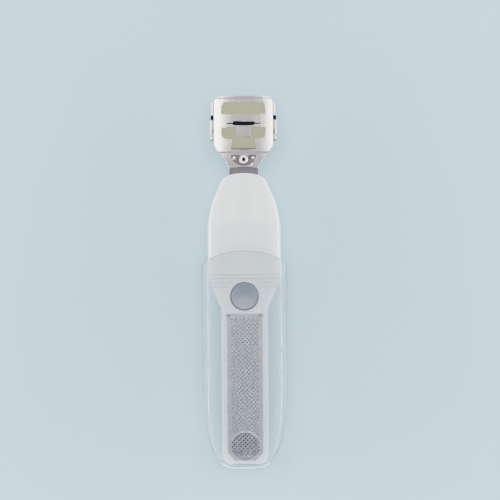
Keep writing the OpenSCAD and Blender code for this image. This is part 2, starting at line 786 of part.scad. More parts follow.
// A thin strip between the raised sides, ground along its top edge, where its ends reach into the notches
module blade() {
  color([0.72, 0.73, 0.7]) placed() difference() {
    rotate([90, 0, 90]) translate([0, 0, -blade_w / 2]) linear_extrude(blade_w) polygon([
      [blade_back_y, carrier_top_z], [blade_edge_y, carrier_top_z], [blade_edge_y, carrier_top_z + 0.05],
      [blade_edge_y - bevel_w, blade_top_z], [blade_back_y, blade_top_z]
    ]);
    for (s = [0, 1]) mirror([s, 0, 0])
      translate([blade_body_w / 2, blade_tab_y - blade_h, 0]) cube([blade_w, blade_h, 3 * outer_b]);
  }
}

// A rivet, hollow from the front, that clamps the cover's lip and holds all layers to the tang
module centre_eyelet() {
  flange_t = 0.5;
  end_t = 0.8;
  top = carrier_top_z + cover_t;
  low = mid_z - tang_t / 2;
  color([0.85, 0.85, 0.84]) placed() translate([0, plates_y + eyelet_y, 0]) difference() {
    union() {
      translate([0, 0, top]) cylinder(d1 = eyelet_d, d2 = eyelet_d - 0.6, h = flange_t);
      translate([0, 0, low]) cylinder(d = eyelet_hole_d + 1.2, h = top - low);
      translate([0, 0, low - flange_t]) cylinder(d1 = eyelet_d - 0.6, d2 = eyelet_d, h = flange_t);
    }
    translate([0, 0, low - flange_t + end_t]) cylinder(d = eyelet_hole_d, h = top - low + 3);
  }
}

// Two solid rivets in the tang beside the eyelet, which keep the carrier plate from turning
module side_rivets() {
  head_t = 0.6;
  low = mid_z - tang_t / 2;
  color([0.85, 0.85, 0.84]) placed() for (s = [-1, 1])
    translate([s * rivet_span / 2, plates_y + eyelet_y + 0.9, 0]) {
      translate([0, 0, low]) cylinder(d = rivet_d - 0.6, h = tang_t);
      translate([0, 0, tang_top_z]) cylinder(d1 = rivet_d, d2 = rivet_d - 0.7, h = head_t);
      translate([0, 0, low - head_t / 2]) cylinder(d1 = rivet_d - 0.4, d2 = rivet_d, h = head_t / 2);
    }
}

sleeve();
front_shell();
back_shell();
button();
button_spring();
rasp_foil();
tang();
carrier_plate();
cover_plate();
blade();
centre_eyelet();
side_rivets();
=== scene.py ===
"""Callus shaver on a pale floor: polished blade head, white handle with a rasp, frosted sleeve.

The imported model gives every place. Lengths in the classes are millimetres, laid out from the
push button's centre along the tool, and ``at`` turns them into the frame's metres.
"""
import logging
import math
from collections.abc import Callable, Iterator, Sequence
from contextlib import contextmanager
from dataclasses import dataclass
from enum import Enum
from itertools import pairwise

import bmesh
import bpy
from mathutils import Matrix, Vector


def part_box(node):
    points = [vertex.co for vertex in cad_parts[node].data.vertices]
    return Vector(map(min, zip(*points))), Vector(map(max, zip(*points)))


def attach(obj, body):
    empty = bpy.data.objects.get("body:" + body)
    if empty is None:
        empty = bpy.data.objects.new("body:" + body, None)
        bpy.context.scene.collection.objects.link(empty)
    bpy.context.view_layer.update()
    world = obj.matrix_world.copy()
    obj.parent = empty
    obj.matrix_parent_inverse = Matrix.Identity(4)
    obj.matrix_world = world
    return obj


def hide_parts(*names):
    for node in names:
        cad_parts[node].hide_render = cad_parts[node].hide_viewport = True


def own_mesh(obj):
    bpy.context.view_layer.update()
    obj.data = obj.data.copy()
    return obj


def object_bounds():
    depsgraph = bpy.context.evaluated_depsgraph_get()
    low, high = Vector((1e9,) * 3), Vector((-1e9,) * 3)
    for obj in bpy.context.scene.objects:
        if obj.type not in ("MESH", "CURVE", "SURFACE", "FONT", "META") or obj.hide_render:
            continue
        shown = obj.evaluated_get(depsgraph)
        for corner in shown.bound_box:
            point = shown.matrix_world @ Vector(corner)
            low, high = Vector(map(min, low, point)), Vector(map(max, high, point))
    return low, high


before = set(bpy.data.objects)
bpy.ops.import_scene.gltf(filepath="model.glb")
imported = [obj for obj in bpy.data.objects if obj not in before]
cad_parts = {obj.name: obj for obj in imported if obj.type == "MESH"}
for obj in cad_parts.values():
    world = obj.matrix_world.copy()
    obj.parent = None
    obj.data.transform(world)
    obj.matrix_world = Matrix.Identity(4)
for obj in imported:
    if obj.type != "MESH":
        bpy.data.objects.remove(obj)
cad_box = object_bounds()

log = logging.getLogger("callus_shaver")

MM = 0.001
# Points closer than this are one point
TINY = 0.001 * MM
# Points that are this close to a line stand on it
SLACK = 10 * TINY
# Faces of a sheet part that are larger than this are its flats, and the others its bends and edges
BROAD = 1.9 * MM ** 2
# How far a cutter stands out past the surface that it cuts, in millimetres
CLEAR = 1.0
# Half the length over which a finish changes to its edge colour, in millimetres
EDGE_BLEND = 0.2
# The values of a pattern's noise between which the roughness runs
NOISE_SPAN = (0.3, 0.7)
COAT_ROUGHNESS = 0.06
BUTTON_Y = sum(bound.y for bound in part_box("button")) / 2


class Body(Enum):
    """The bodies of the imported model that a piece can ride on."""

    HANDLE = "handle"
    SLEEVE = "sleeve"
    BUTTON = "button"


class Kind(Enum):
    """What is selected in edit mode."""

    POINT = "VERT"
    EDGE = "EDGE"
    FACE = "FACE"


def at(x: float, y: float, z: float) -> Vector:
    """Turns a place on the tool into a place in the frame.

    Args:
        x: Millimetres to the right of the tool's middle.
        y: Millimetres from the button's centre towards the blade head.
        z: Millimetres above the floor.

    Returns:
        The same place in metres.
    """
    return Vector((x * MM, y * MM + BUTTON_Y, z * MM))


def linear(code: str) -> tuple[float, float, float, float]:
    """Turns an sRGB hex colour into linear light.

    Args:
        code: The colour as six hex digits after a hash.

    Returns:
        Red, green, blue and an alpha of one.
    """
    channels = (int(code[i:i + 2], 16) / 255 for i in (1, 3, 5))
    return (*(c / 12.92 if c <= 0.04045 else ((c + 0.055) / 1.055) ** 2.4 for c in channels), 1.0)


def squared(a: float, b: float, p: float, q: float, turn: float) -> tuple[float, float]:
    """Gives a point of a squared oval.

    Args:
        a: Half width.
        b: Half height.
        p: Exponent across; a higher one is squarer.
        q: Exponent upwards.
        turn: How far round, from 0 to 1, counted from the right.

    Returns:
        The point's two coordinates.
    """
    c, s = math.cos(2 * math.pi * turn), math.sin(2 * math.pi * turn)
    return (
        a * math.copysign(abs(c) ** (2 / p), c),
        b * math.copysign(abs(s) ** (2 / q), s),
    )


def corner(t: float, r: float) -> float:
    """Gives how far a corner of radius r has come in, at a distance t past its start."""
    return 0.0 if t <= 0 else r - math.sqrt(max(0.0, r * r - min(t, r) ** 2))


def smooth(t: float) -> float:
    """Gives a value that eases from 0 to 1 as t does."""
    t = min(1.0, max(0.0, t))
    return t * t * (3 - 2 * t)


def steps(start: float, end: float, count: int) -> list[float]:
    """Gives count + 1 evenly spaced values from start to end."""
    return [start + (end - start) * i / count for i in range(count + 1)]


def deselect_all() -> None:
    """Deselects every object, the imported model's own ones too."""
    bpy.ops.object.select_all(action="DESELECT")


def activate(piece: bpy.types.Object) -> None:
    """Makes a piece the only selected and the active one.

    Args:
        piece: The piece.
    """
    deselect_all()
    piece.select_set(True)
    bpy.context.view_layer.objects.active = piece


def new_piece(add: Callable[..., object], name: str, **settings: object) -> bpy.types.Object:
    """Adds a primitive and settles its place into its mesh.

    Args:
        add: The operator that adds it.
        name: The piece's name.
        **settings: The operator's settings.

    Returns:
        The new piece, at the origin, unturned and unscaled.
    """
    deselect_all()
    add(**settings)
    piece = bpy.context.active_object
    piece.name = piece.data.name = name
    bpy.ops.object.transform_apply(location=True, rotation=True, scale=True)
    return piece


@contextmanager
def editing(piece: bpy.types.Object) -> Iterator[None]:
    """Puts a piece into edit mode with everything selected, and back into object mode afterwards.

    Args:
        piece: The piece.
    """
    activate(piece)
    bpy.ops.object.mode_set(mode="EDIT")
    bpy.ops.mesh.select_mode(type=Kind.POINT.value)
    bpy.ops.mesh.select_all(action="SELECT")
    yield
    bpy.ops.object.mode_set(mode="OBJECT")


def choose(piece: bpy.types.Object, kind: Kind, test: Callable[..., bool]) -> None:
    """Selects what passes a test, and nothing else.

    Args:
        piece: The piece in edit mode.
        kind: Points, edges or faces.
        test: Says of one of them whether it is wanted.
    """
    bpy.ops.mesh.select_mode(type=kind.value)
    bpy.ops.mesh.select_all(action="DESELECT")
    mesh = bmesh.from_edit_mesh(piece.data)
    wanted = {Kind.POINT: mesh.verts, Kind.EDGE: mesh.edges, Kind.FACE: mesh.faces}[kind]
    for element in wanted:
        if test(element):
            element.select_set(True)
    bmesh.update_edit_mesh(piece.data)


def tidy_mesh() -> None:
    """Merges doubled points of the piece in edit mode and turns its faces outwards."""
    bpy.ops.mesh.select_all(action="SELECT")
    bpy.ops.mesh.remove_doubles(threshold=TINY)
    bpy.ops.mesh.normals_make_consistent(inside=False)


def modify(piece: bpy.types.Object, kind: str, **settings: object) -> None:
    """Adds a modifier to a piece and applies it.

    Args:
        piece: The piece.
        kind: The modifier's type.
        **settings: The modifier's settings.
    """
    activate(piece)
    modifier = piece.modifiers.new(kind.title(), kind)
    for key, value in settings.items():
        setattr(modifier, key, value)
    bpy.ops.object.modifier_apply(modifier=modifier.name)


def cut(piece: bpy.types.Object, cutter: bpy.types.Object, operation: str = "DIFFERENCE") -> None:
    """Cuts a shape out of a piece, or joins it on, and deletes the shape.

    Args:
        piece: The piece that is cut.
        cutter: The closed shape that cuts it.
        operation: The name of the boolean operation.
    """
    modify(piece, "BOOLEAN", operation=operation, solver="EXACT", object=cutter)
    bpy.data.objects.remove(cutter, do_unlink=True)


def ease_edges(piece: bpy.types.Object, width: float, segments: int = 2, angle: float = 50) -> None:
    """Rounds a piece's sharp edges.

    Args:
        piece: The piece.
        width: Width of the rounding in millimetres.
        segments: Faces across it.
        angle: Edges sharper than this many degrees are rounded.
    """
    modify(
        piece, "BEVEL", width=width * MM, segments=segments, limit_method="ANGLE",
        angle_limit=math.radians(angle), use_clamp_overlap=True,
    )


def close_end(piece: bpy.types.Object, y: float, reach: float) -> None:
    """Closes an open end of a tube with one face.

    Args:
        piece: The tube, in edit mode.
        y: Where the end is, in metres along the frame.
        reach: How far from there its edges may be, in metres.
    """
    choose(
        piece, Kind.EDGE,
        lambda e: e.is_boundary and all(abs(v.co.y - y) < reach for v in e.verts),
    )
    bpy.ops.mesh.edge_face_add()


def joined(first: bpy.types.Object, second: bpy.types.Object) -> bpy.types.Object:
    """Joins two pieces into one.

    Args:
        first: The piece that stays.
        second: The piece that goes into it.

    Returns:
        The first piece.
    """
    activate(first)
    second.select_set(True)
    bpy.ops.object.join()
    return first


def linked(name: str, data: bpy.types.ID) -> bpy.types.Object:
    """Makes an object of a mesh, a light or a camera, and puts it into the scene.

    Args:
        name: The object's name.
        data: What it is made of.

    Returns:
        The new object.
    """
    thing = bpy.data.objects.new(name, data)
    bpy.context.scene.collection.objects.link(thing)
    return thing


def block(name: str, low: Vector, high: Vector) -> bpy.types.Object:
    """Adds a plain block, as a cutter or a blank.

    Args:
        name: The block's name.
        low: The corner with its lowest coordinates.
        high: The corner with its highest coordinates.

    Returns:
        The block.
    """
    return new_piece(
        bpy.ops.mesh.primitive_cube_add, name, size=1, location=(low + high) / 2, scale=high - low,
    )


def shaped_sheet(
    name: str, columns: int, rows: int, place: Callable[[int, int], Vector]
) -> bpy.types.Object:
    """Adds a grid and bends it into shape, because no primitive has a squared and tapering section.

    Args:
        name: The piece's name.
        columns: Cells across.
        rows: Cells along.
        place: Gives the place of the grid's point in a column and a row.

    Returns:
        The bent sheet.
    """
    piece = new_piece(
        bpy.ops.mesh.primitive_grid_add, name, x_subdivisions=columns, y_subdivisions=rows, size=2,
    )
    for point in piece.data.vertices:
        column = round((point.co.x + 1) / 2 * columns)
        row = round((point.co.y + 1) / 2 * rows)
        point.co = place(column, row)
    return piece


def turned(
    name: str, profile: Sequence[tuple[float, float]], centre: Vector, count: int = 72
) -> bpy.types.Object:
    """Draws a profile point by point and spins it round an upright axis.

    Args:
        name: The piece's name.
        profile: Distance from the axis and height of each point, in millimetres.
        centre: A place on the axis; the heights count from it.
        count: Faces round the piece.

    Returns:
        The turned piece.
    """
    piece = new_piece(bpy.ops.mesh.primitive_plane_add, name, size=MM)
    with editing(piece):
        bpy.ops.mesh.merge(type="CENTER")
        first = Vector((profile[0][0] * MM, 0, profile[0][1] * MM))
        bpy.ops.transform.translate(value=centre + first)
        for (r0, z0), (r1, z1) in pairwise(profile):
            step = ((r1 - r0) * MM, 0, (z1 - z0) * MM)
            bpy.ops.mesh.extrude_region_move(TRANSFORM_OT_translate={"value": step})
        bpy.ops.mesh.select_all(action="SELECT")
        bpy.ops.mesh.spin(steps=count, angle=2 * math.pi, center=centre, axis=(0, 0, 1))
        tidy_mesh()
    return piece


def arc(
    centre: tuple[float, float], r: float, start: float, end: float, count: int = 4
) -> list[tuple[float, float]]:
    """Gives the points of an arc in a profile.

    Args:
        centre: The arc's centre, as distance from the axis and height.
        r: Radius.
        start: Where it starts, in degrees counted from outwards to upwards.
        end: Where it ends.
        count: Steps along it.

    Returns:
        The arc's points, both ends included.
    """
    turns = [math.radians(t) for t in steps(start, end, count)]
    return [(centre[0] + r * math.cos(t), centre[1] + r * math.sin(t)) for t in turns]


def copied(node: str, name: str) -> bpy.types.Object:
    """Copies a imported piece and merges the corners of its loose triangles.

    Args:
        node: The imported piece.
        name: The new piece's name.

    Returns:
        The copy.
    """
    piece = linked(name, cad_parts[node].data.copy())
    piece.data.name = name
    with editing(piece):
        tidy_mesh()
    return piece


def refined(node: str, name: str, edge: float) -> bpy.types.Object:
    """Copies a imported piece, joins its triangles into whole faces and eases its edges.

    Args:
        node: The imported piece.
        name: The new piece's name.
        edge: Width of the eased edges in millimetres.

    Returns:
        The copy.
    """
    piece = copied(node, name)
    with editing(piece):
        bpy.ops.mesh.dissolve_limited(angle_limit=math.radians(1))
        bpy.ops.mesh.normals_make_consistent(inside=False)
    ease_edges(piece, edge)
    with editing(piece):
        bpy.ops.mesh.faces_shade_smooth()
        choose(piece, Kind.FACE, lambda f: f.calc_area() > BROAD)
        bpy.ops.mesh.faces_shade_flat()
    return piece


def add_node(
    material: bpy.types.Material,
    kind: str,
    settings: dict[str, object] | None = None,
    values: dict[str, object] | None = None,
    links: dict[str, bpy.types.NodeSocket] | None = None,
) -> bpy.types.Node:
    """Adds a node to a material.

    Args:
        material: The material.
        kind: The node's type.
        settings: The node's own settings by name.
        values: Values of its inputs by name.
        links: Outputs that feed its inputs, by the input's name.

    Returns:
        The new node.
    """
    node = material.node_tree.nodes.new(kind)
    for key, value in (settings or {}).items():
        setattr(node, key, value)
    for key, value in (values or {}).items():
        node.inputs[key].default_value = value
    for key, socket in (links or {}).items():
        material.node_tree.links.new(socket, node.inputs[key])
    return node


@dataclass(frozen=True)
class Finish:
    """A surface finish: what all the object's materials share.

    Attributes:
        name: The material's name, after the real stuff and how it was made.
        slot: The record's material slot; not used.
        colour: Base colour as sRGB hex.
        shade: A second colour that the pattern mixes in.
        roughness: Roughness of the surface.
        spread: How much the pattern changes the roughness.
        metallic: 1 on bare metal and 0 on plastic.
        ior: Index of refraction, where it isn't the default.
        grain: Size of the pattern's grain across, along and up, in millimetres.
        depth: Depth of the grain in millimetres.
        coat: Weight of a clear gloss on top.
        transmission: How much light goes through instead of being scattered back.
        alpha: How much of the surface is there at all; the rest lets the light go straight on.
        edge_colour: A colour that takes over towards the blade head, where there is one; the
            blade's is painted shade.
        edge_y: Where it takes over, in millimetres from the frame's origin.
    """

    name: str
    slot: str
    colour: str
    shade: str
    roughness: float
    spread: float
    metallic: float = 0.0
    ior: float = 1.5
    grain: tuple[float, float, float] = (1.0, 1.0, 1.0)
    depth: float = 0.002
    coat: float = 0.0
    transmission: float = 0.0
    alpha: float = 1.0
    edge_colour: str = ""
    edge_y: float = 0.0

    def material(self) -> bpy.types.Material:
        """Builds the material once and returns it."""
        if self.name in bpy.data.materials:
            return bpy.data.materials[self.name]
        material = bpy.data.materials.new(self.name)
        material.use_nodes = True
        material.node_tree.nodes.clear()
        place = add_node(material, "ShaderNodeTexCoord")
        mapping = add_node(
            material, "ShaderNodeMapping",
            values={"Scale": [1 / (g * MM) for g in self.grain]},
            links={"Vector": place.outputs["Object"]},
        )
        noise = add_node(
            material, "ShaderNodeTexNoise",
            values={"Scale": 1.0, "Detail": 4.0, "Roughness": 0.6},
            links={"Vector": mapping.outputs["Vector"]},
        )
        colour = add_node(
            material, "ShaderNodeMix", settings={"data_type": "RGBA"},
            values={6: linear(self.colour), 7: linear(self.shade)},
            links={0: noise.outputs["Fac"]},
        )
        # Towards the blade head a second colour takes over; on the blade it is painted shade
        if self.edge_colour:
            axes = add_node(
                material, "ShaderNodeSeparateXYZ", links={"Vector": place.outputs["Object"]},
            )
            past = add_node(
                material, "ShaderNodeMapRange",
                values={
                    "From Min": (self.edge_y - EDGE_BLEND) * MM,
                    "From Max": (self.edge_y + EDGE_BLEND) * MM,
                },
                links={"Value": axes.outputs["Y"]},
            )
            colour = add_node(
                material, "ShaderNodeMix", settings={"data_type": "RGBA"},
                values={7: linear(self.edge_colour)},
                links={0: past.outputs["Result"], 6: colour.outputs[2]},
            )
        rough = add_node(
            material, "ShaderNodeMapRange",
            values={
                "From Min": NOISE_SPAN[0], "From Max": NOISE_SPAN[1],
                "To Min": self.roughness - self.spread, "To Max": self.roughness + self.spread,
            },
            links={"Value": noise.outputs["Fac"]},
        )
        bump = add_node(
            material, "ShaderNodeBump",
            values={"Strength": 1.0, "Distance": self.depth * MM},
            links={"Height": noise.outputs["Fac"]},
        )
        shader = add_node(
            material, "ShaderNodeBsdfPrincipled",
            values={
                "Metallic": self.metallic, "IOR": self.ior,
                "Coat Weight": self.coat, "Coat Roughness": COAT_ROUGHNESS,
                "Transmission Weight": self.transmission, "Alpha": self.alpha,
            },
            links={
                "Base Color": colour.outputs[2],
                "Roughness": rough.outputs["Result"],
                "Normal": bump.outputs["Normal"],
            },
        )
        add_node(
            material, "ShaderNodeOutputMaterial", links={"Surface": shader.outputs["BSDF"]},
        )
        return material


# Real polishing lines, drawing lines and moulded grain are finer than 0.1 mm and wouldn't show.
# They are drawn 0.2 to 0.8 mm wide, as coarse as they need to be to show at all.

# Injection-moulded ABS in white: smooth tool steel leaves a soft gloss and a faint flow mottle
WHITE_ABS = Finish(
    "white_abs_moulded", "handle_plastic", "#D6DEE4", "#D0D8DF",
    roughness=0.2, spread=0.03, ior=1.54, grain=(6, 9, 6), depth=0.01, coat=0.5,
)
# Frosted styrene acrylonitrile: an etched mould makes it milky, and its edges catch the light
FROSTED_SAN = Finish(
    "frosted_san_moulded", "sleeve_plastic", "#F2F9FD", "#EEF6FB",
    roughness=0.07, spread=0.02, ior=1.36, grain=(0.5, 0.5, 0.5), depth=0.0,
    transmission=0.93, alpha=0.75,
)
# Painted shade for the sleeve's mouth and the grooves' floors: a darker plastic that stands in for
# the shade along the mouth's edge and down in the grooves
SLEEVE_SHADE_SAN = Finish(
    "sleeve_san_painted_shade", "sleeve_plastic", "#63737C", "#5D6D76",
    roughness=0.3, spread=0.03, ior=1.36, grain=(0.5, 0.5, 0.5), depth=0.0, transmission=0.2,
)
# Satin ABS in blue grey: a fine spark-eroded grain takes the shine off the dish
GREY_ABS = Finish(
    "grey_abs_satin", "button_plastic", "#6A7685", "#616D7C",
    roughness=0.38, spread=0.05, ior=1.54, grain=(0.35, 0.35, 0.35), depth=0.004,
)
# Stainless sheet, stamped and buffed along its length to a mirror, with hair-fine polishing lines
MIRROR_STEEL = Finish(
    "stainless_sheet_mirror_polished", "mirror_steel", "#F3F1EE", "#EEEBEA",
    roughness=0.04, spread=0.008, metallic=1.0, grain=(0.4, 7.0, 0.4), depth=0.0003,
)
# Stainless sheet as it comes off the roll, satin, with a warm khaki tint that is a painted
# reflection of its surroundings
SATIN_STEEL = Finish(
    "stainless_sheet_satin_rolled", "satin_steel", "#81846B", "#75785F",
    roughness=0.4, spread=0.08, metallic=1.0, grain=(4.0, 0.25, 0.25), depth=0.002,
)
# Spring steel strip; its dark, faintly violet grey is painted shade and painted dark reflection,
# for the neck that lies in the cover's shade
TANG_SHADE_STEEL = Finish(
    "spring_steel_strip_painted_shade", "tang_steel", "#56525C", "#4C4852",
    roughness=0.34, spread=0.06, metallic=1.0, grain=(5.0, 0.3, 0.3), depth=0.002,
)
# Blade strip, ground along its length; its khaki is a painted reflection like the carrier's, and
# its part towards the cutting edge is painted blue black, a painted shade for the deep slot
BLADE_STEEL = Finish(
    "blade_steel_edge_painted_shade", "blade_steel", "#7B7E67", "#70735D",
    roughness=0.36, spread=0.06, metallic=1.0, grain=(0.2, 3.0, 0.2), depth=0.001,
    edge_colour="#10101C", edge_y=80.2,
)
# Thin stainless foil, punched through from behind and nickel plated, so that each tooth glints
RASP_NICKEL = Finish(
    "nickel_plated_foil_punched", "rasp_steel", "#A9ABB5", "#9DA0AA",
    roughness=0.24, spread=0.06, metallic=1.0, grain=(0.6, 0.6, 0.6), depth=0.003,
)
# Rivets, upset cold and bright nickel plated, which gives them a soft white shine
RIVET_NICKEL = Finish(
    "nickel_plated_rivet_bright", "rivet_steel", "#F0EEEB", "#E4E2E0",
    roughness=0.16, spread=0.04, metallic=1.0, grain=(0.8, 0.8, 0.8), depth=0.001,
)
# The same rivet inside its bore, painted dark: painted shade for the deep bore
RIVET_BORE_SHADE = Finish(
    "rivet_bore_painted_shade", "rivet_steel", "#2A282F", "#232127",
    roughness=0.5, spread=0.05, metallic=1.0, grain=(0.8, 0.8, 0.8), depth=0.001,
)
# The carrier's bent sides, painted as white as the cover: a painted reflection of the bright lights
# on their bends
LIT_BEND_STEEL = Finish(
    "stainless_bend_painted_reflection", "satin_steel", "#DCD9DE", "#D2CFD5",
    roughness=0.2, spread=0.04, metallic=1.0, grain=(0.4, 3.0, 0.4), depth=0.0005,
)
# Music wire, drawn through a die, which leaves it grey with fine lines along it
SPRING_WIRE = Finish(
    "music_wire_drawn", "spring_steel", "#B0B1B5", "#9C9DA2",
    roughness=0.3, spread=0.05, metallic=1.0, grain=(0.2, 0.2, 1.5), depth=0.001,
)


def dress(
    piece: bpy.types.Object, body: Body, finish: Finish, node: str, angle: float | None = 35
) -> None:
    """Smooths a finished piece, gives it its material and its body, and reports it.

    Args:
        piece: The piece.
        body: The body that it rides on.
        finish: Its finish.
        node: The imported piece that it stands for.
        angle: Edges flatter than this many degrees are shaded smooth; None leaves them alone.
    """
    activate(piece)
    if angle is not None:
        bpy.ops.object.shade_smooth_by_angle(angle=math.radians(angle))
    piece.data.materials.clear()
    piece.data.materials.append(finish.material())
    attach(piece, body.value)
    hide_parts(node)
    log.info("%s: %d faces, rides on %s", piece.name, len(piece.data.polygons), body.value)


def repaint(piece: bpy.types.Object, finish: Finish, test: Callable[..., bool]) -> None:
    """Gives part of a piece a second finish.

    Args:
        piece: The piece.
        finish: The second finish.
        test: Says of a face whether it takes that finish.
    """
    piece.data.materials.append(finish.material())
    with editing(piece):
        choose(piece, Kind.FACE, test)
        piece.active_material_index = len(piece.data.materials) - 1
        bpy.ops.object.material_slot_assign()


@dataclass
class Sleeve:
    """The frosted sleeve: a squared tube with a rounded lower end and two latch holes.

    Its mouth is the open end towards the blade head. Four grip grooves lie below it.

    Attributes:
        curve_x: Exponent of its section across; a higher one is squarer.
        curve_z: The same upwards.
        mouth_y: Where the mouth is in the middle.
        mouth_drop: How much lower it is at the sides.
        end_l: Length of the part that narrows towards the lower end.
        end_fillet: Radius of the lower end's rounding from front to back.
        edge_curve: How sharply the skin turns in where the lower end narrows.
        slide: Distance between the two latch holes.
        passage_half_width: Half width of the opening that the tongue comes out of.
        passage_out: How far its cutter stands out past the lower end.
        passage_in: How far the cutter reaches in.
        tube_top: Where the widely spaced rings of the tube end.
        hole_rings: Where the rings round the upper hole start and end.
        groove_half: How far out from the middle the grooves go.
        groove_stop: How near to the upper hole's centre they come.
        groove_margin: How far above the first groove the skin starts to bow.
        rib_x: How far from the middle the two guide ribs inside are.
        mouth_shade_h: Height of the band of painted shade along the mouth.
    """

    half_width: float = 22.1
    half_depth: float = 9.2
    mid_z: float = 8.8
    wall: float = 1.6
    curve_x: float = 3.2
    curve_z: float = 2.6
    mouth_y: float = 23.7
    mouth_drop: float = 5.9
    mouth_corner_r: float = 1.4
    end_y: float = -89.15
    end_l: float = 50.15
    end_curve_x: float = 4.0
    end_curve_y: float = 2.5
    end_fillet: float = 1.6
    edge_curve: float = 14.0
    hole_r: float = 7.5
    hole_chamfer: float = 0.45
    slide: float = 77.8
    passage_half_width: float = 12.6
    passage_half_depth: float = 6.7
    passage_out: float = 5.0
    passage_in: float = 8.0
    passage_r: float = 2.5
    tube_top: float = -4.0
    hole_rings: tuple[float, float] = (-3.0, 3.4)
    groove_top: float = 11.4
    groove_pitch: float = 2.2
    groove_count: int = 4
    groove_w: float = 0.18
    groove_depth: float = 0.3
    groove_flank: float = 0.2
    groove_half: float = 17.9
    groove_stop: float = 9.0
    groove_margin: float = 1.0
    groove_slack: float = 0.01
    rib_x: float = 7.0
    rib_w: float = 1.4
    rib_start: float = -84.4
    rib_end: float = 17.7
    rib_top: float = 1.85
    around: int = 144
    rim: float = 0.35
    mouth_shade_h: float = 0.3

    def outline(self, y: float) -> float:
        """Gives the half width of the sleeve.

        Args:
            y: Place along the sleeve, measured at its sides.

        Returns:
            The half width there, in millimetres.
        """
        past = (self.end_y + self.end_l - y) / self.end_l
        a = self.half_width
        if past > 0:
            a *= (1 - min(past, 1) ** self.end_curve_y) ** (1 / self.end_curve_x)
        side_mouth = self.mouth_y - self.mouth_drop
        return a - corner(y - side_mouth + self.mouth_corner_r, self.mouth_corner_r)

    def stations(self) -> list[float]:
        """Gives the rings along the sleeve, closer together where its outline turns.

        Returns:
            The places of the rings, from the lower end to the mouth.
        """
        end = [
            self.end_y + self.end_l * (1 - math.sin(math.radians(t)) ** (2 / self.end_curve_y))
            for t in steps(85, 6, 30)
        ]
        tube = steps(self.end_y + self.end_l, self.tube_top, 14)
        grooves = [
            self.groove_top - i * self.groove_pitch + s
            for i in reversed(range(self.groove_count))
            for s in self.groove_profile()
        ]
        side_mouth = self.mouth_y - self.mouth_drop
        r = self.mouth_corner_r
        mouth = steps(self.groove_top + self.groove_margin, side_mouth - r, 6)
        lip = [side_mouth - r + r * math.sin(math.radians(t)) for t in steps(18, 90, 4)]
        return end + tube + steps(*self.hole_rings, 4) + grooves + mouth + lip

    def groove_profile(self) -> tuple[float, float, float, float]:
        """Gives the places of a groove's four edges about its middle."""
        half = self.groove_w / 2
        return (-half - self.groove_flank, -half, half, half + self.groove_flank)

    def in_groove(self, place: Vector) -> bool:
        """Says whether a place belongs to the floor of a grip groove.

        Args:
            place: A place on the sleeve, in the frame.

        Returns:
            True on a floor; the back, the sides and the upper hole's surround have none.
        """
        x, y = place.x / MM, (place.y - BUTTON_Y) / MM
        beside = abs(x) > self.groove_half or math.hypot(x, y) < self.groove_stop
        if place.z < self.mid_z * MM or beside:
            return False
        reach = self.groove_w / 2 + self.groove_slack
        middles = (self.groove_top - i * self.groove_pitch for i in range(self.groove_count))
        return any(abs(y - middle) < reach for middle in middles)

    def point(self, turn: float, y: float) -> Vector:
        """Gives a point of the outer skin.

        Args:
            turn: How far round the section, from 0 to 1.
            y: Place along the sleeve, measured at its sides.

        Returns:
            The point in the frame.
        """
        a = self.outline(y)
        x, _ = squared(a, 1, self.curve_x, self.curve_z, turn)
        crown = max(0.0, 1 - abs(x / self.half_width) ** self.curve_x)
        edge = max(0.0, 1 - abs(x / a) ** self.edge_curve)
        b = self.half_depth - corner(self.end_y + self.end_fillet - y, self.end_fillet)
        z = b * (crown * edge) ** (1 / self.curve_z)
        if turn > 0.5:
            z = -z
        start = self.groove_top + self.groove_margin
        ease = smooth((y - start) / (self.mouth_y - self.mouth_drop - start))
        bow = self.mouth_drop * ease * (1 - (x / self.half_width) ** 2)
        return at(x, y + bow, max(0.0, self.mid_z + z))

    def hole_cutter(self, y: float) -> bpy.types.Object:
        """Makes the cutter of a latch hole, with a flare that chamfers its rim.

        Args:
            y: The hole's place along the sleeve.

        Returns:
            The cutter.
        """
        top = self.mid_z + self.half_depth
        flare = top - self.hole_chamfer
        profile = [
            (0, self.mid_z), (self.hole_r, self.mid_z), (self.hole_r, flare),
            (self.hole_r + CLEAR, flare + CLEAR), (0, flare + CLEAR),
        ]
        return turned("hole_cutter", profile, at(0, y, 0), 96)

    def build(self) -> None:
        """Builds the sleeve."""
        rows = self.stations()
        piece = shaped_sheet(
            "sleeve_shell", self.around, len(rows) - 1,
            lambda column, row: self.point(column / self.around, rows[row]),
        )
        with editing(piece):
            bpy.ops.mesh.remove_doubles(threshold=TINY)
            close_end(piece, at(0, rows[0], 0).y, TINY)
            tidy_mesh()
        modify(piece, "SOLIDIFY", thickness=self.wall * MM, offset=-1, use_even_offset=True)
        # The grooves are only in the outer skin, whose faces look up here
        with editing(piece):
            choose(piece, Kind.POINT, lambda v: v.normal.z > 0 and self.in_groove(v.co))
            bpy.ops.transform.translate(value=(0, 0, -self.groove_depth * MM))
        ease_edges(piece, self.rim, 3, 60)
        w, d = self.passage_half_width, self.passage_half_depth
        passage = block(
            "passage", at(-w, self.end_y - self.passage_out, self.mid_z - d),
            at(w, self.end_y + self.passage_in, self.mid_z + d),
        )
        ease_edges(passage, self.passage_r, 6)
        cut(piece, passage)
        for y in (0, -self.slide):
            cut(piece, self.hole_cutter(y))
        for sign in (-1, 1):
            low, high = sign * self.rib_x - self.rib_w / 2, sign * self.rib_x + self.rib_w / 2
            rib = block(
                "rib", at(low, self.rib_start, self.wall / 2), at(high, self.rib_end, self.rib_top),
            )
            cut(piece, rib, "UNION")
        dress(piece, Body.SLEEVE, FROSTED_SAN, "sleeve", 30)
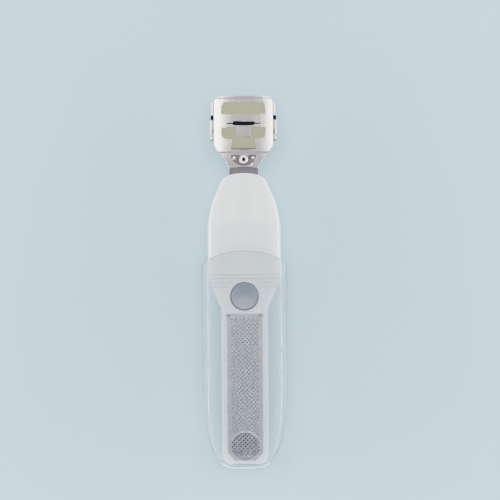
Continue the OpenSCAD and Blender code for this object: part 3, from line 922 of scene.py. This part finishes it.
        # The mouth's edge and the grooves' floors take the painted shade, a darker plastic for the
        # shade there
        repaint(piece, SLEEVE_SHADE_SAN, lambda f: (
            self.from_mouth(f.calc_center_median()) < self.mouth_shade_h * MM
            or self.in_groove(f.calc_center_median())
        ))

    def from_mouth(self, place: Vector) -> float:
        """Gives how far a place is below the mouth's curve, in metres."""
        drop = self.mouth_drop * (place.x / (self.half_width * MM)) ** 2
        return at(0, self.mouth_y - drop, 0).y - place.y


@dataclass
class Handle:
    """The white handle: a bottle shape with a long tongue, split into a front and a back shell.

    The front shell has the button's bore, with a ledge that holds its flange down, the rasp's
    pocket, and two wells beside the rasp's upper corners. The back shell has the button's stop
    and the spring's seat.

    Attributes:
        neck_arch: How much higher the neck's edge is in the middle than at the sides.
        taper_l: Length over which the handle narrows towards the neck.
        taper_over: How far past the neck's edge it would go on to do so.
        shoulder_l: Length over which it narrows towards the tongue.
        step_y: Where the curved step that the sleeve's mouth meets is in the middle.
        step_h: Height of that step.
        arc_drop: How much lower the step is at ``arc_half_width`` from the middle.
        curve: Exponent of the handle's section; a higher one is squarer.
        tongue_curve: The same for the tongue.
        ledge_z: Height of the ledge over the button's flange.
        stop_z: Height of the stop under it.
        spring_z: Height of the spring's seat.
        cutter_top: Height of the turned cutters' tops, past the handle's front.
        well_edge: How far out from the middle the wells go.
        well_rise: How far above the seam their floors are.
        seam: Width of the rounding along the seam.
    """

    half_width: float = 18.9
    half_depth: float = 6.7
    mid_z: float = 8.8
    neck_edge: float = 61.8
    neck_half_width: float = 10.3
    neck_half_depth: float = 4.8
    neck_corner_r: float = 2.0
    neck_arch: float = 1.9
    arch_slack: float = 0.1
    neck_fillet: float = 1.0
    taper_l: float = 28.9
    taper_over: float = 1.0
    taper_power: float = 1.9
    shoulder_y: float = 13.8
    shoulder_l: float = 20.1
    shoulder_power: float = 1.5
    step_y: float = 26.8
    step_h: float = 0.35
    arc_drop: float = 5.9
    arc_half_width: float = 22.1
    tongue_top: float = -9.2
    tongue_half_width: float = 12.0
    tongue_half_depth: float = 4.8
    tongue_end: float = -86.7
    tongue_end_r: float = 5.0
    curve: float = 4.0
    tongue_curve: float = 9.0
    bore_r: float = 7.6
    bore_low: float = 5.0
    cutter_top: float = 20.0
    ledge_z: float = 12.75
    flange_bore_r: float = 9.1
    stop_z: float = 8.55
    spring_r: float = 4.95
    spring_z: float = 4.1
    pocket_half: float = 6.9
    pocket_top: float = -11.4
    pocket_end: float = -83.0
    pocket_floor: float = 11.2
    well_w: float = 2.1
    well_y: float = -10.1
    well_edge: float = 9.4
    well_rise: float = 0.5
    around: int = 128
    seam: float = 0.12

    def taper_start(self) -> float:
        """Gives where the handle starts to narrow towards the neck."""
        return self.neck_edge + self.taper_over - self.taper_l

    def width_at(self, y: float) -> float:
        """Gives the half width of the handle.

        Args:
            y: Place along the handle, measured at its sides.

        Returns:
            The half width there, in millimetres.
        """
        taper_y = self.taper_start()
        if y > taper_y:
            t = min(1.0, (y - taper_y) / self.taper_l)
            narrow = (self.half_width - self.neck_half_width) * t ** self.taper_power
            rounding = corner(y - self.neck_edge + self.neck_corner_r, self.neck_corner_r)
            return self.half_width - narrow - rounding
        if y > self.shoulder_y:
            return self.half_width
        if y > self.shoulder_y - self.shoulder_l:
            t = (self.shoulder_y - y) / self.shoulder_l
            slope = self.half_width - self.tongue_half_width
            return self.half_width - slope * t ** self.shoulder_power
        end = corner(self.tongue_end + self.tongue_end_r - y, self.tongue_end_r)
        return self.tongue_half_width - end

    def depth_at(self, y: float) -> float:
        """Gives the half depth of the handle.

        Args:
            y: Place along the handle, measured at its sides.

        Returns:
            The half depth there, in millimetres.
        """
        if y <= self.tongue_top:
            return self.tongue_half_depth
        if y < self.step_edge():
            return self.half_depth - self.step_h
        t = smooth((y - self.taper_start()) / self.taper_l)
        b = self.half_depth + (self.neck_half_depth - self.half_depth) * t
        return b - corner(y - self.neck_edge + self.neck_fillet, self.neck_fillet)

    def step_edge(self) -> float:
        """Gives where the curved step meets the handle's sides."""
        return self.step_y - self.arc_drop * (self.half_width / self.arc_half_width) ** 2

    def stations(self) -> list[float]:
        """Gives the rings along the handle, closer together where its outline turns.

        Returns:
            The places of the rings, from the tongue's end up to the neck.
        """
        r, top = self.tongue_end_r, self.neck_edge
        end = [self.tongue_end + r * (1 - math.cos(math.radians(t))) for t in steps(0, 90, 8)]
        shoulder_low = self.shoulder_y - self.shoulder_l
        step = self.step_edge()
        low = top - self.taper_l
        neck = [top - self.neck_corner_r * (1 - math.sin(math.radians(t))) for t in steps(0, 88, 8)]
        return [
            *end, *steps(-70, -10, 12), self.tongue_top, self.tongue_top + 0.1,
            *steps(shoulder_low, self.shoulder_y, 16), step - 3, step - 1.5, step,
            *steps(step + 0.5, low, 5), *steps(low + 1.5, top - 2.4, 24), *neck,
        ]

    def point(self, turn: float, y: float) -> Vector:
        """Gives a point of the handle's skin.

        Args:
            turn: How far round the section, from 0 to 1.
            y: Place along the handle, measured at its sides.

        Returns:
            The point in the frame.
        """
        a, b = self.width_at(y), self.depth_at(y)
        p = self.tongue_curve if y <= self.tongue_top else self.curve
        x, z = squared(a, b, p, p, turn)
        low = self.shoulder_y - self.shoulder_l
        rise = smooth((y - low) / self.shoulder_l) - smooth((y - self.step_y) / self.taper_l)
        bow = self.arc_drop / self.arc_half_width ** 2 * max(0.0, rise) * (a * a - x * x)
        taper_y = self.neck_edge - self.taper_l / 2
        arch = smooth((y - taper_y) / (self.neck_edge - taper_y))
        bow += self.neck_arch * arch * (1 - (x / self.neck_half_width) ** 2)
        return at(x, y + bow, self.mid_z + z)

    def half(self, name: str, front: bool) -> bpy.types.Object:
        """Makes one shell.

        Args:
            name: The shell's name.
            front: Whether it is the front one.

        Returns:
            The closed shell, with a fine seam where the two meet.
        """
        rows = self.stations()
        piece = shaped_sheet(
            name, self.around, len(rows) - 1,
            lambda column, row: self.point(column / self.around, rows[row]),
        )
        with editing(piece):
            bpy.ops.mesh.remove_doubles(threshold=TINY)
            # The neck's end is arched, so its edges are looked for that much further
            for end in (rows[0], rows[-1]):
                close_end(piece, at(0, end, 0).y, (self.neck_arch + self.arch_slack) * MM)
            tidy_mesh()
            bpy.ops.mesh.bisect(
                plane_co=at(0, 0, self.mid_z), plane_no=(0, 0, 1), use_fill=True,
                clear_inner=front, clear_outer=not front, threshold=TINY,
            )
            tidy_mesh()
        ease_edges(piece, self.seam, 2, 60)
        return piece

    def build(self) -> None:
        """Builds the two shells."""
        front = self.half("front_cover", True)
        r, wide = self.bore_r, self.flange_bore_r
        bore = [
            (0, self.bore_low), (wide, self.bore_low), (wide, self.ledge_z), (r, self.ledge_z),
            (r, self.cutter_top), (0, self.cutter_top),
        ]
        cut(front, turned("bore_cutter", bore, at(0, 0, 0), 96))
        pocket = block(
            "pocket_cutter", at(-self.pocket_half, self.pocket_end, self.pocket_floor),
            at(self.pocket_half, self.pocket_top, self.mid_z + self.half_depth),
        )
        cut(front, pocket)
        for sign in (-1, 1):
            half = self.well_w / 2
            x = sign * (self.well_edge - half)
            well = block(
                "well_cutter", at(x - half, self.well_y - half, self.mid_z + self.well_rise),
                at(x + half, self.well_y + half, self.mid_z + self.half_depth),
            )
            cut(front, well)
        dress(front, Body.HANDLE, WHITE_ABS, "front_shell", 32)
        back = self.half("back_cover", False)
        small = self.spring_r
        seat = [
            (0, self.spring_z), (small, self.spring_z), (small, self.stop_z),
            (wide, self.stop_z), (wide, self.cutter_top), (0, self.cutter_top),
        ]
        cut(back, turned("seat_cutter", seat, at(0, 0, 0), 96))
        dress(back, Body.HANDLE, WHITE_ABS, "back_shell", 32)


@dataclass
class PushButton:
    """The dished push button with its foot flange, and the coil spring below it.

    Attributes:
        crest: How far the rim's crown stands above its sides.
        cap_t: Thickness of the dish at its deepest.
        well_r: Radius of the well under it that the spring stands in.
        spring_give: Not used. How much the spring shortens at the end of the button's longer
        way, which is up. It makes 1.05 mm at the end of its way down, a little more than the
        button's own 1 mm.
    """

    radius: float = 7.0
    rim: float = 0.8
    dish: float = 1.4
    crest: float = 0.12
    flange_r: float = 8.5
    flange_t: float = 1.4
    cap_t: float = 1.25
    spring_give: float = 1.68
    well_r: float = 4.95

    def build(self) -> None:
        """Builds the button and its spring."""
        low, high = (bound.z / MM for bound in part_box("button"))
        dish_a = self.radius - self.rim
        dish_r = (dish_a ** 2 + self.dish ** 2) / (2 * self.dish)
        reach = math.degrees(math.asin(dish_a / dish_r))
        half = self.rim / 2
        flange_z, well_z = low + self.flange_t, high - self.dish - self.cap_t
        profile = [
            *arc((0, high - self.dish - self.crest + dish_r), dish_r, -90, -90 + reach, 14),
            *[
                (self.radius - half * (1 + math.cos(t)), high - self.crest * (1 - math.sin(t)))
                for t in steps(0.2, math.pi - 0.2, 6)
            ],
            (self.radius, high - 2 * self.crest), (self.radius, flange_z),
            (self.flange_r, flange_z), (self.flange_r, low), (self.well_r, low),
            (self.well_r, well_z), (0, well_z),
        ]
        piece = turned("push_button", profile, at(0, 0, 0), 96)
        dress(piece, Body.BUTTON, GREY_ABS, "button", 40)
        self.build_spring()

    def build_spring(self) -> None:
        """Copies the coil spring and gives it a mesh of its own."""
        spring = copied("button_spring", "coil_spring")
        dress(spring, Body.HANDLE, SPRING_WIRE, "button_spring", 60)
        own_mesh(spring)


@dataclass
class RaspFoil:
    """The rasp: a foil folded over the tongue's face, punched with staggered sharp teeth.

    Attributes:
        first_row: Where the highest row of teeth is.
        pitch: Distance between the teeth of a row, and between the rows of one lattice.
        columns: Teeth in a row of the wider lattice.
        rows: Rows of that lattice.
        crest_w: Width of the flat crest round a tooth's hole.
        tooth_r: Radius of a tooth's foot.
        leg: Length of the folded sides below their bend.
        corner_cut: How far the cut of a lower corner goes in from it.
        sheet_z: Height of the foil between its teeth.
    """

    half_width: float = 9.3
    top_y: float = -9.3
    end_y: float = -85.1
    first_row: float = -11.9
    pitch: float = 2.2
    columns: int = 7
    rows: int = 33
    hole_r: float = 0.4
    crest_w: float = 0.1
    tooth_r: float = 0.7
    tooth_h: float = 0.24
    thickness: float = 0.3
    leg: float = 0.6
    fold_r: float = 0.7
    corner_cut: float = 3.0
    notch_w: float = 1.9
    notch_l: float = 1.5
    sheet_z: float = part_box("rasp_foil")[1].z / MM - tooth_h

    def tooth(self) -> bpy.types.Object:
        """Models one tooth: a round crest that slopes down to a square cell on its corner.

        Returns:
            The first tooth of the lattice's upper left corner.
        """
        half = self.pitch / 2
        middle = at((1 - self.columns) * half, self.first_row, self.sheet_z)
        piece = new_piece(
            bpy.ops.mesh.primitive_circle_add, "rasp_foil_sheet", vertices=8,
            radius=self.hole_r * MM, location=middle + Vector((0, 0, self.tooth_h * MM)),
        )
        with editing(piece):
            for scale, drop in (
                ((self.hole_r + self.crest_w) / self.hole_r, 0.0),
                (self.tooth_r / (self.hole_r + self.crest_w), self.tooth_h),
                (half / self.tooth_r, 0.0),
            ):
                bpy.ops.mesh.extrude_region_move(
                    TRANSFORM_OT_translate={"value": (0, 0, -drop * MM)},
                )
                bpy.ops.transform.resize(value=(scale, scale, 1), center_override=middle)
            # The slanting points of the outermost ring come in to the middles of the cell's sides
            far, off_axis = 0.9 * half * MM, 0.2 * MM
            choose(
                piece, Kind.POINT,
                lambda v: (v.co - middle).length > far
                and min(abs(v.co.x - middle.x), abs(v.co.y - middle.y)) > off_axis,
            )
            side = math.sqrt(0.5)
            bpy.ops.transform.resize(value=(side, side, 1), center_override=middle)
        return piece

    def field(self) -> bpy.types.Object:
        """Copies the tooth into two lattices, one between the rows of the other.

        Returns:
            The two, joined.
        """
        lattices = []
        for shift in (0, 1):
            piece = self.tooth()
            for axis, count in ((0, self.columns - shift), (1, self.rows - shift)):
                step = [0.0, 0.0, 0.0]
                step[axis] = self.pitch * MM * (1 if axis == 0 else -1)
                modify(
                    piece, "ARRAY", count=count, use_relative_offset=False,
                    use_constant_offset=True, constant_offset_displace=step,
                )
            with editing(piece):
                half = shift * self.pitch / 2 * MM
                bpy.ops.transform.translate(value=(half, -half, 0))
            lattices.append(piece)
        return joined(*lattices)

    def border(self, piece: bpy.types.Object, wanted: Callable[[Vector], bool]) -> None:
        """Selects some of the sheet's outer edges.

        Args:
            piece: The foil, in edit mode.
            wanted: Says of an edge's ends whether they are wanted; both have to be.
        """
        z = self.sheet_z * MM
        choose(
            piece, Kind.EDGE,
            lambda e: e.is_boundary and all(
                abs(v.co.z - z) < SLACK and wanted(v.co) for v in e.verts
            ),
        )

    def build(self) -> None:
        """Builds the foil: the field of teeth, plain ends, folded sides and cut corners."""
        piece = self.field()
        half = self.pitch / 2
        side_x = self.columns * half * MM
        last_row = self.first_row - (self.rows - 1) * self.pitch
        with editing(piece):
            bpy.ops.mesh.remove_doubles(threshold=TINY)
            for sign, row, end in ((1, self.first_row, self.top_y), (-1, last_row, self.end_y)):
                limit, line = at(0, row, 0).y, at(0, end, 0).y
                self.border(piece, lambda p, s=sign, y=limit: s * (p.y - y) > -SLACK)
                bpy.ops.mesh.extrude_region_move()
                bpy.ops.transform.resize(value=(1, 0, 1), center_override=(0, line, 0))
            top, low = at(0, self.top_y, 0).y, at(0, self.end_y, 0).y
            for sign in (1, -1):
                self.border(piece, lambda p, s=sign: s * p.x > side_x - half * MM - SLACK)
                self.drop_end_edges(piece, (top, low))
                bpy.ops.mesh.extrude_region_move()
                bpy.ops.transform.resize(value=(0, 1, 1), center_override=(sign * side_x, 0, 0))
            bpy.ops.mesh.select_all(action="SELECT")
            bpy.ops.mesh.remove_doubles(threshold=TINY)
            r = self.fold_r * MM
            margin = self.half_width * MM - r - side_x
            for sign in (1, -1):
                self.border(piece, lambda p, s=sign: abs(p.x - s * side_x) < SLACK)
                bpy.ops.mesh.extrude_region_move(
                    TRANSFORM_OT_translate={"value": (sign * margin, 0, 0)},
                )
                bpy.ops.mesh.spin(
                    steps=6, angle=-math.pi / 2, axis=(0, sign, 0),
                    center=(sign * (side_x + margin), 0, self.sheet_z * MM - r),
                )
                bpy.ops.mesh.extrude_region_move(
                    TRANSFORM_OT_translate={"value": (0, 0, -self.leg * MM)},
                )
            tidy_mesh()
        if sum(face.normal.z for face in piece.data.polygons) < 0:
            with editing(piece):
                bpy.ops.mesh.flip_normals()
        modify(piece, "SOLIDIFY", thickness=self.thickness * MM, offset=-1)
        self.cut_corners(piece)
        dress(piece, Body.HANDLE, RASP_NICKEL, "rasp_foil", 30)

    def drop_end_edges(self, piece: bpy.types.Object, lines: tuple[float, float]) -> None:
        """Deselects the edges that run along either end of the foil.

        Args:
            piece: The foil, in edit mode.
            lines: Where the two ends are, in metres along the frame.
        """
        mesh = bmesh.from_edit_mesh(piece.data)
        for edge in mesh.edges:
            if any(all(abs(v.co.y - y) < SLACK for v in edge.verts) for y in lines):
                edge.select_set(False)
        bmesh.update_edit_mesh(piece.data)

    def cut_corners(self, piece: bpy.types.Object) -> None:
        """Cuts the lower corners off and notches the folds at the upper end.

        Args:
            piece: The foil.
        """
        c = self.corner_cut
        for sign in (1, -1):
            cutter = block(
                "corner_cutter", Vector((-c, -c, -c)) * MM, Vector((c, c, c)) * MM,
            )
            with editing(cutter):
                bpy.ops.transform.rotate(
                    value=math.radians(45), orient_axis="Z", center_override=(0, 0, 0),
                )
                bpy.ops.transform.translate(
                    value=at(sign * self.half_width, self.end_y, self.sheet_z),
                )
            cut(piece, cutter)
            x = sign * (self.half_width - self.notch_w / 2)
            notch = block(
                "notch_cutter",
                at(x - self.notch_w / 2, self.top_y - self.notch_l, self.sheet_z - c),
                at(x + self.notch_w / 2, self.top_y + CLEAR, self.sheet_z + c),
            )
            cut(piece, notch)


@dataclass
class BladeHead:
    """The stamped head: polished cover, satin carrier, blade, tang, and the rivets through them.

    Attributes:
        eyelet_y: Where the tubular rivet is.
        eyelet_wall: Thickness of its tube.
        eyelet_roll_h: Height of its rolled flange.
        eyelet_foot_h: Height of its foot.
        eyelet_floor_h: How far above its lower end the wall of its bore stops.
        eyelet_collar_h: How far above its lower end its tube meets its foot.
        rivet_offset: How far to either side the two solid rivets are.
        rivet_rise: How much further up than the tubular one they are.
        rivet_ledge: How far their heads stand out past their shanks.
        rivet_foot_w: How far the solid rivets' feet stand out past their shanks.
        foot_slope: Width of the slope at the tubular rivet's foot, and its height on the others.
        bend_x: How far out the carrier's bent sides start.
        corner_r: Radius of the cover's two upper corners.
        cut_corner_r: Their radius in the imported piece.
        corner_reach: How fast the change between the two fades inwards; a higher one is faster.
    """

    eyelet_y: float = 70.7
    eyelet_r: float = 2.15
    eyelet_hole_r: float = 0.95
    eyelet_wall: float = 0.6
    eyelet_roll_h: float = 0.5
    eyelet_low: float = 7.7
    eyelet_foot_h: float = 0.4
    eyelet_floor_h: float = 0.8
    eyelet_collar_h: float = 0.5
    rivet_offset: float = 4.9
    rivet_rise: float = 0.9
    rivet_r: float = 1.05
    rivet_h: float = 0.6
    rivet_ledge: float = 0.3
    rivet_foot_w: float = 0.2
    foot_slope: float = 0.3
    edge: float = 0.12
    blade_edge: float = 0.03
    bend_x: float = 15.7
    corner_r: float = 5.0
    cut_corner_r: float = 3.6
    corner_reach: int = 4

    def round_corners(self, cover: bpy.types.Object) -> None:
        """Draws the two corners of the cover's rolled edge in to a fuller curve.

        A point is drawn towards the centre of the new curve, by all of the difference between
        the two curves at the border and by ever less further in.

        Args:
            cover: The cover.
        """
        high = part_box("cover_plate")[1]
        r = self.corner_r * MM
        inset = r - self.cut_corner_r * MM
        # Edges where the new curve starts keep the straight borders in their place
        with editing(cover):
            for place, across in (
                ((high.x - r, 0, 0), (1, 0, 0)), ((r - high.x, 0, 0), (1, 0, 0)),
                ((0, high.y - r, 0), (0, 1, 0)),
            ):
                bpy.ops.mesh.select_all(action="SELECT")
                bpy.ops.mesh.bisect(plane_co=place, plane_no=across)
        for vertex in cover.data.vertices:
            off = Vector((abs(vertex.co.x) - high.x + r, vertex.co.y - high.y + r))
            if min(off) <= 0:
                continue
            way = off.normalized()
            along = inset * (way.x + way.y)
            border = along + math.sqrt(along ** 2 - 2 * inset ** 2 + (r - inset) ** 2)
            if min(way) * border < inset:
                border = r / max(way)
            shift = (r / border - 1) * (off.length / border) ** self.corner_reach * off
            vertex.co.x += math.copysign(1, vertex.co.x) * shift.x
            vertex.co.y += shift.y

    def build(self) -> None:
        """Builds the sheet parts and the rivets."""
        sheets = (
            ("cover_plate", "head_cover", MIRROR_STEEL, self.edge),
            ("carrier_plate", "head_carrier", SATIN_STEEL, self.edge),
            # The tang's dark finish is painted shade and painted dark reflection
            ("tang", "head_tang", TANG_SHADE_STEEL, self.edge),
            ("blade", "head_blade", BLADE_STEEL, self.blade_edge),
        )
        for node, name, finish, edge in sheets:
            piece = refined(node, name, edge)
            if node == "cover_plate":
                self.round_corners(piece)
            dress(piece, Body.HANDLE, finish, node, None)
            if node == "carrier_plate":
                # The bent sides get a lighter copy of the steel, a painted reflection of the lights
                bend = self.bend_x * MM
                repaint(piece, LIT_BEND_STEEL, lambda f: abs(f.calc_center_median().x) > bend)
        self.build_eyelet()
        self.build_rivets()

    def build_eyelet(self) -> None:
        """Builds the tubular rivet, whose flange is rolled outwards."""
        hole_r, low, roll_h = self.eyelet_hole_r, self.eyelet_low, self.eyelet_roll_h
        roll = (self.eyelet_r - hole_r) / 2
        mid_r = hole_r + roll
        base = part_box("centre_eyelet")[1].z / MM - roll_h
        neck = hole_r + self.eyelet_wall
        foot = low + self.eyelet_foot_h
        profile = [
            (0, foot), (hole_r, low + self.eyelet_floor_h), (hole_r, base),
            *[
                (mid_r - roll * math.cos(t), base + roll_h * math.sin(t))
                for t in steps(0.3, math.pi, 8)
            ],
            (neck, base), (neck, low + self.eyelet_collar_h),
            (self.eyelet_r, foot), (self.eyelet_r - self.foot_slope, low), (0, low),
        ]
        piece = turned("centre_rivet", profile, at(0, self.eyelet_y, 0), 48)
        dress(piece, Body.HANDLE, RIVET_NICKEL, "centre_eyelet", 40)
        centre = at(0, self.eyelet_y, (self.eyelet_low + base) / 2)
        # The bore's wall is painted dark as painted shade, for the shade deep in the hole
        repaint(piece, RIVET_BORE_SHADE, lambda f: (
            (f.calc_center_median() - centre).xy.length < self.eyelet_hole_r * MM
            and abs(f.calc_center_median().z - centre.z) < (base - self.eyelet_low) / 2 * MM
        ))

    def build_rivets(self) -> None:
        """Builds the two solid rivets with domed heads."""
        low, high = (bound.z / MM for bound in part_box("side_rivets"))
        base = high - self.rivet_h
        dome = [
            (self.rivet_r * math.cos(t), base + self.rivet_h * math.sin(t))
            for t in steps(0, math.pi / 2, 6)
        ]
        shank = self.rivet_r - self.rivet_ledge
        profile = [
            (0, low), (shank + self.rivet_foot_w, low), (shank, low + self.foot_slope),
            (shank, base), *dome,
        ]
        pair = []
        for sign in (-1, 1):
            place = at(sign * self.rivet_offset, self.eyelet_y + self.rivet_rise, 0)
            pair.append(turned("head_rivets", profile, place, 32))
        dress(joined(*pair), Body.HANDLE, RIVET_NICKEL, "side_rivets", 50)


@dataclass
class Studio:
    """The pale floor, the soft lights and the camera that looks straight down.

    Its sizes are metres, and its powers are watts.

    Attributes:
        view_width: Width of the floor that the camera sees.
        distance: How far above the floor the camera hangs.
        near: Where the camera's view starts.
        far: Where it ends.
        lean: How far the camera is turned, in degrees.
        card_gap: Gap between the two small cards above, which keeps the steel grey in its middle.
        back_gap: The same between the two boxes behind, for the rolled edge.
        strip_x: How far out the strips at the left and the right are.
        end_y: Where the strip below the tool's lower end is.
        room_light: Strength of the even light all round.
    """

    view_width: float = 0.26
    distance: float = 3.0
    near: float = 0.05
    far: float = 20.0
    sensor: float = 0.036
    centre_x: float = 0.003
    centre_y: float = 0.0161
    lean: float = -0.376
    box_height: float = 1.15
    box_w: float = 0.75
    box_y: float = 0.085
    box_l: float = 1.3
    box_power: float = 16.0
    card_gap: float = 0.034
    card_w: float = 0.14
    card_l: float = 0.3
    card_power: float = 1.1
    back_y: float = 1.5
    back_h: float = 1.1
    back_gap: float = 0.027
    back_power: float = 9.0
    strip_x: float = 0.6
    strip_z: float = 0.09
    strip_l: float = 0.9
    strip_w: float = 0.07
    strip_power: float = 12.0
    end_y: float = -0.6
    end_l: float = 0.6
    room_light: float = 0.85
    floor_size: float = 6.0

    def camera(self) -> None:
        """Places the camera above the tool, turned a little as the photograph is."""
        data = bpy.data.cameras.new("camera")
        data.sensor_width = self.sensor / MM
        data.lens = self.sensor / MM * self.distance / self.view_width
        data.clip_start, data.clip_end = self.near, self.far
        camera = linked("camera", data)
        camera.location = (self.centre_x, self.centre_y, self.distance)
        camera.rotation_euler = (0, 0, math.radians(self.lean))
        bpy.context.scene.camera = camera

    def area(
        self, name: str, place: Vector, target: Vector, size: tuple[float, float],
        power: float, colour: str,
    ) -> None:
        """Adds a soft rectangular light.

        Args:
            name: The light's name.
            place: Where it hangs.
            target: What it points at.
            size: Its width and length in metres.
            power: Its power in watts.
            colour: Its colour as sRGB hex.
        """
        data = bpy.data.lights.new(name, "AREA")
        data.shape = "RECTANGLE"
        data.size, data.size_y = size
        data.energy = power
        data.color = linear(colour)[:3]
        light = linked(name, data)
        light.location = place
        light.rotation_euler = (target - place).to_track_quat("-Z", "Y").to_euler()

    def lights(self) -> None:
        """Hangs the lights.

        Two boxes hang above with two small cards between them, two boxes stand behind the blade
        head, and low strips lie to the left, to the right and below the tool's lower end.
        """
        middle = Vector((0, self.centre_y, 0))
        for side, sign in (("left", -1), ("right", 1)):
            x = sign * (self.card_gap + self.card_w) / 2
            y = self.box_y + self.card_l / 2
            self.area(
                f"card_{side}", Vector((x, y, self.box_height)), Vector((x, y, 0)),
                (self.card_w, self.card_l), self.card_power, "#FFFAF0",
            )
            x = sign * (self.card_gap / 2 + self.card_w + self.box_w / 2)
            y = self.box_y + self.box_l / 2
            self.area(
                f"soft_box_{side}", Vector((x, y, self.box_height)), Vector((x, y, 0)),
                (self.box_w, self.box_l), self.box_power, "#FFFBF4",
            )
            x = sign * (self.back_gap + self.box_w) / 2
            z = self.back_h / 2
            self.area(
                f"back_box_{side}", Vector((x, self.back_y, z)), Vector((x, 0, z)),
                (self.box_w, self.back_h), self.back_power, "#FFFBF4",
            )
            self.area(
                f"strip_{side}", Vector((sign * self.strip_x, self.centre_y, self.strip_z)),
                middle, (self.strip_l, self.strip_w), self.strip_power, "#FFFFFF",
            )
        self.area(
            "strip_end", Vector((0, self.end_y, self.strip_z)), middle,
            (self.end_l, self.strip_w), self.strip_power, "#FFFFFF",
        )

    def surroundings(self) -> None:
        """Gives the room an even, faintly lavender light."""
        world = bpy.data.worlds.new("studio")
        world.use_nodes = True
        background = world.node_tree.nodes["Background"]
        background.inputs["Color"].default_value = linear("#D8D5DE")
        background.inputs["Strength"].default_value = self.room_light
        bpy.context.scene.world = world

    def floor(self) -> None:
        """Lays the pale floor under the tool."""
        # Matt card, lightly calendered: a faint tooth and no shine
        card = Finish(
            "pale_card_matt", "", "#9BCADC", "#97C7DA", roughness=0.8, spread=0.05,
            grain=(3, 3, 3), depth=0.01,
        )
        piece = new_piece(
            bpy.ops.mesh.primitive_plane_add, "floor", size=self.floor_size,
            location=(0, 0, cad_box[0].z),
        )
        piece.data.materials.append(card.material())

    def build(self) -> None:
        """Sets up the whole studio."""
        self.camera()
        self.lights()
        self.surroundings()
        self.floor()


def main() -> None:
    """Builds the studio and every sub-assembly."""
    logging.basicConfig(level=logging.INFO, format="%(message)s")
    for part in (Studio(), Handle(), RaspFoil(), PushButton(), BladeHead(), Sleeve()):
        part.build()
        log.info("%s built", type(part).__name__)


if __name__ == "__main__":
    main()
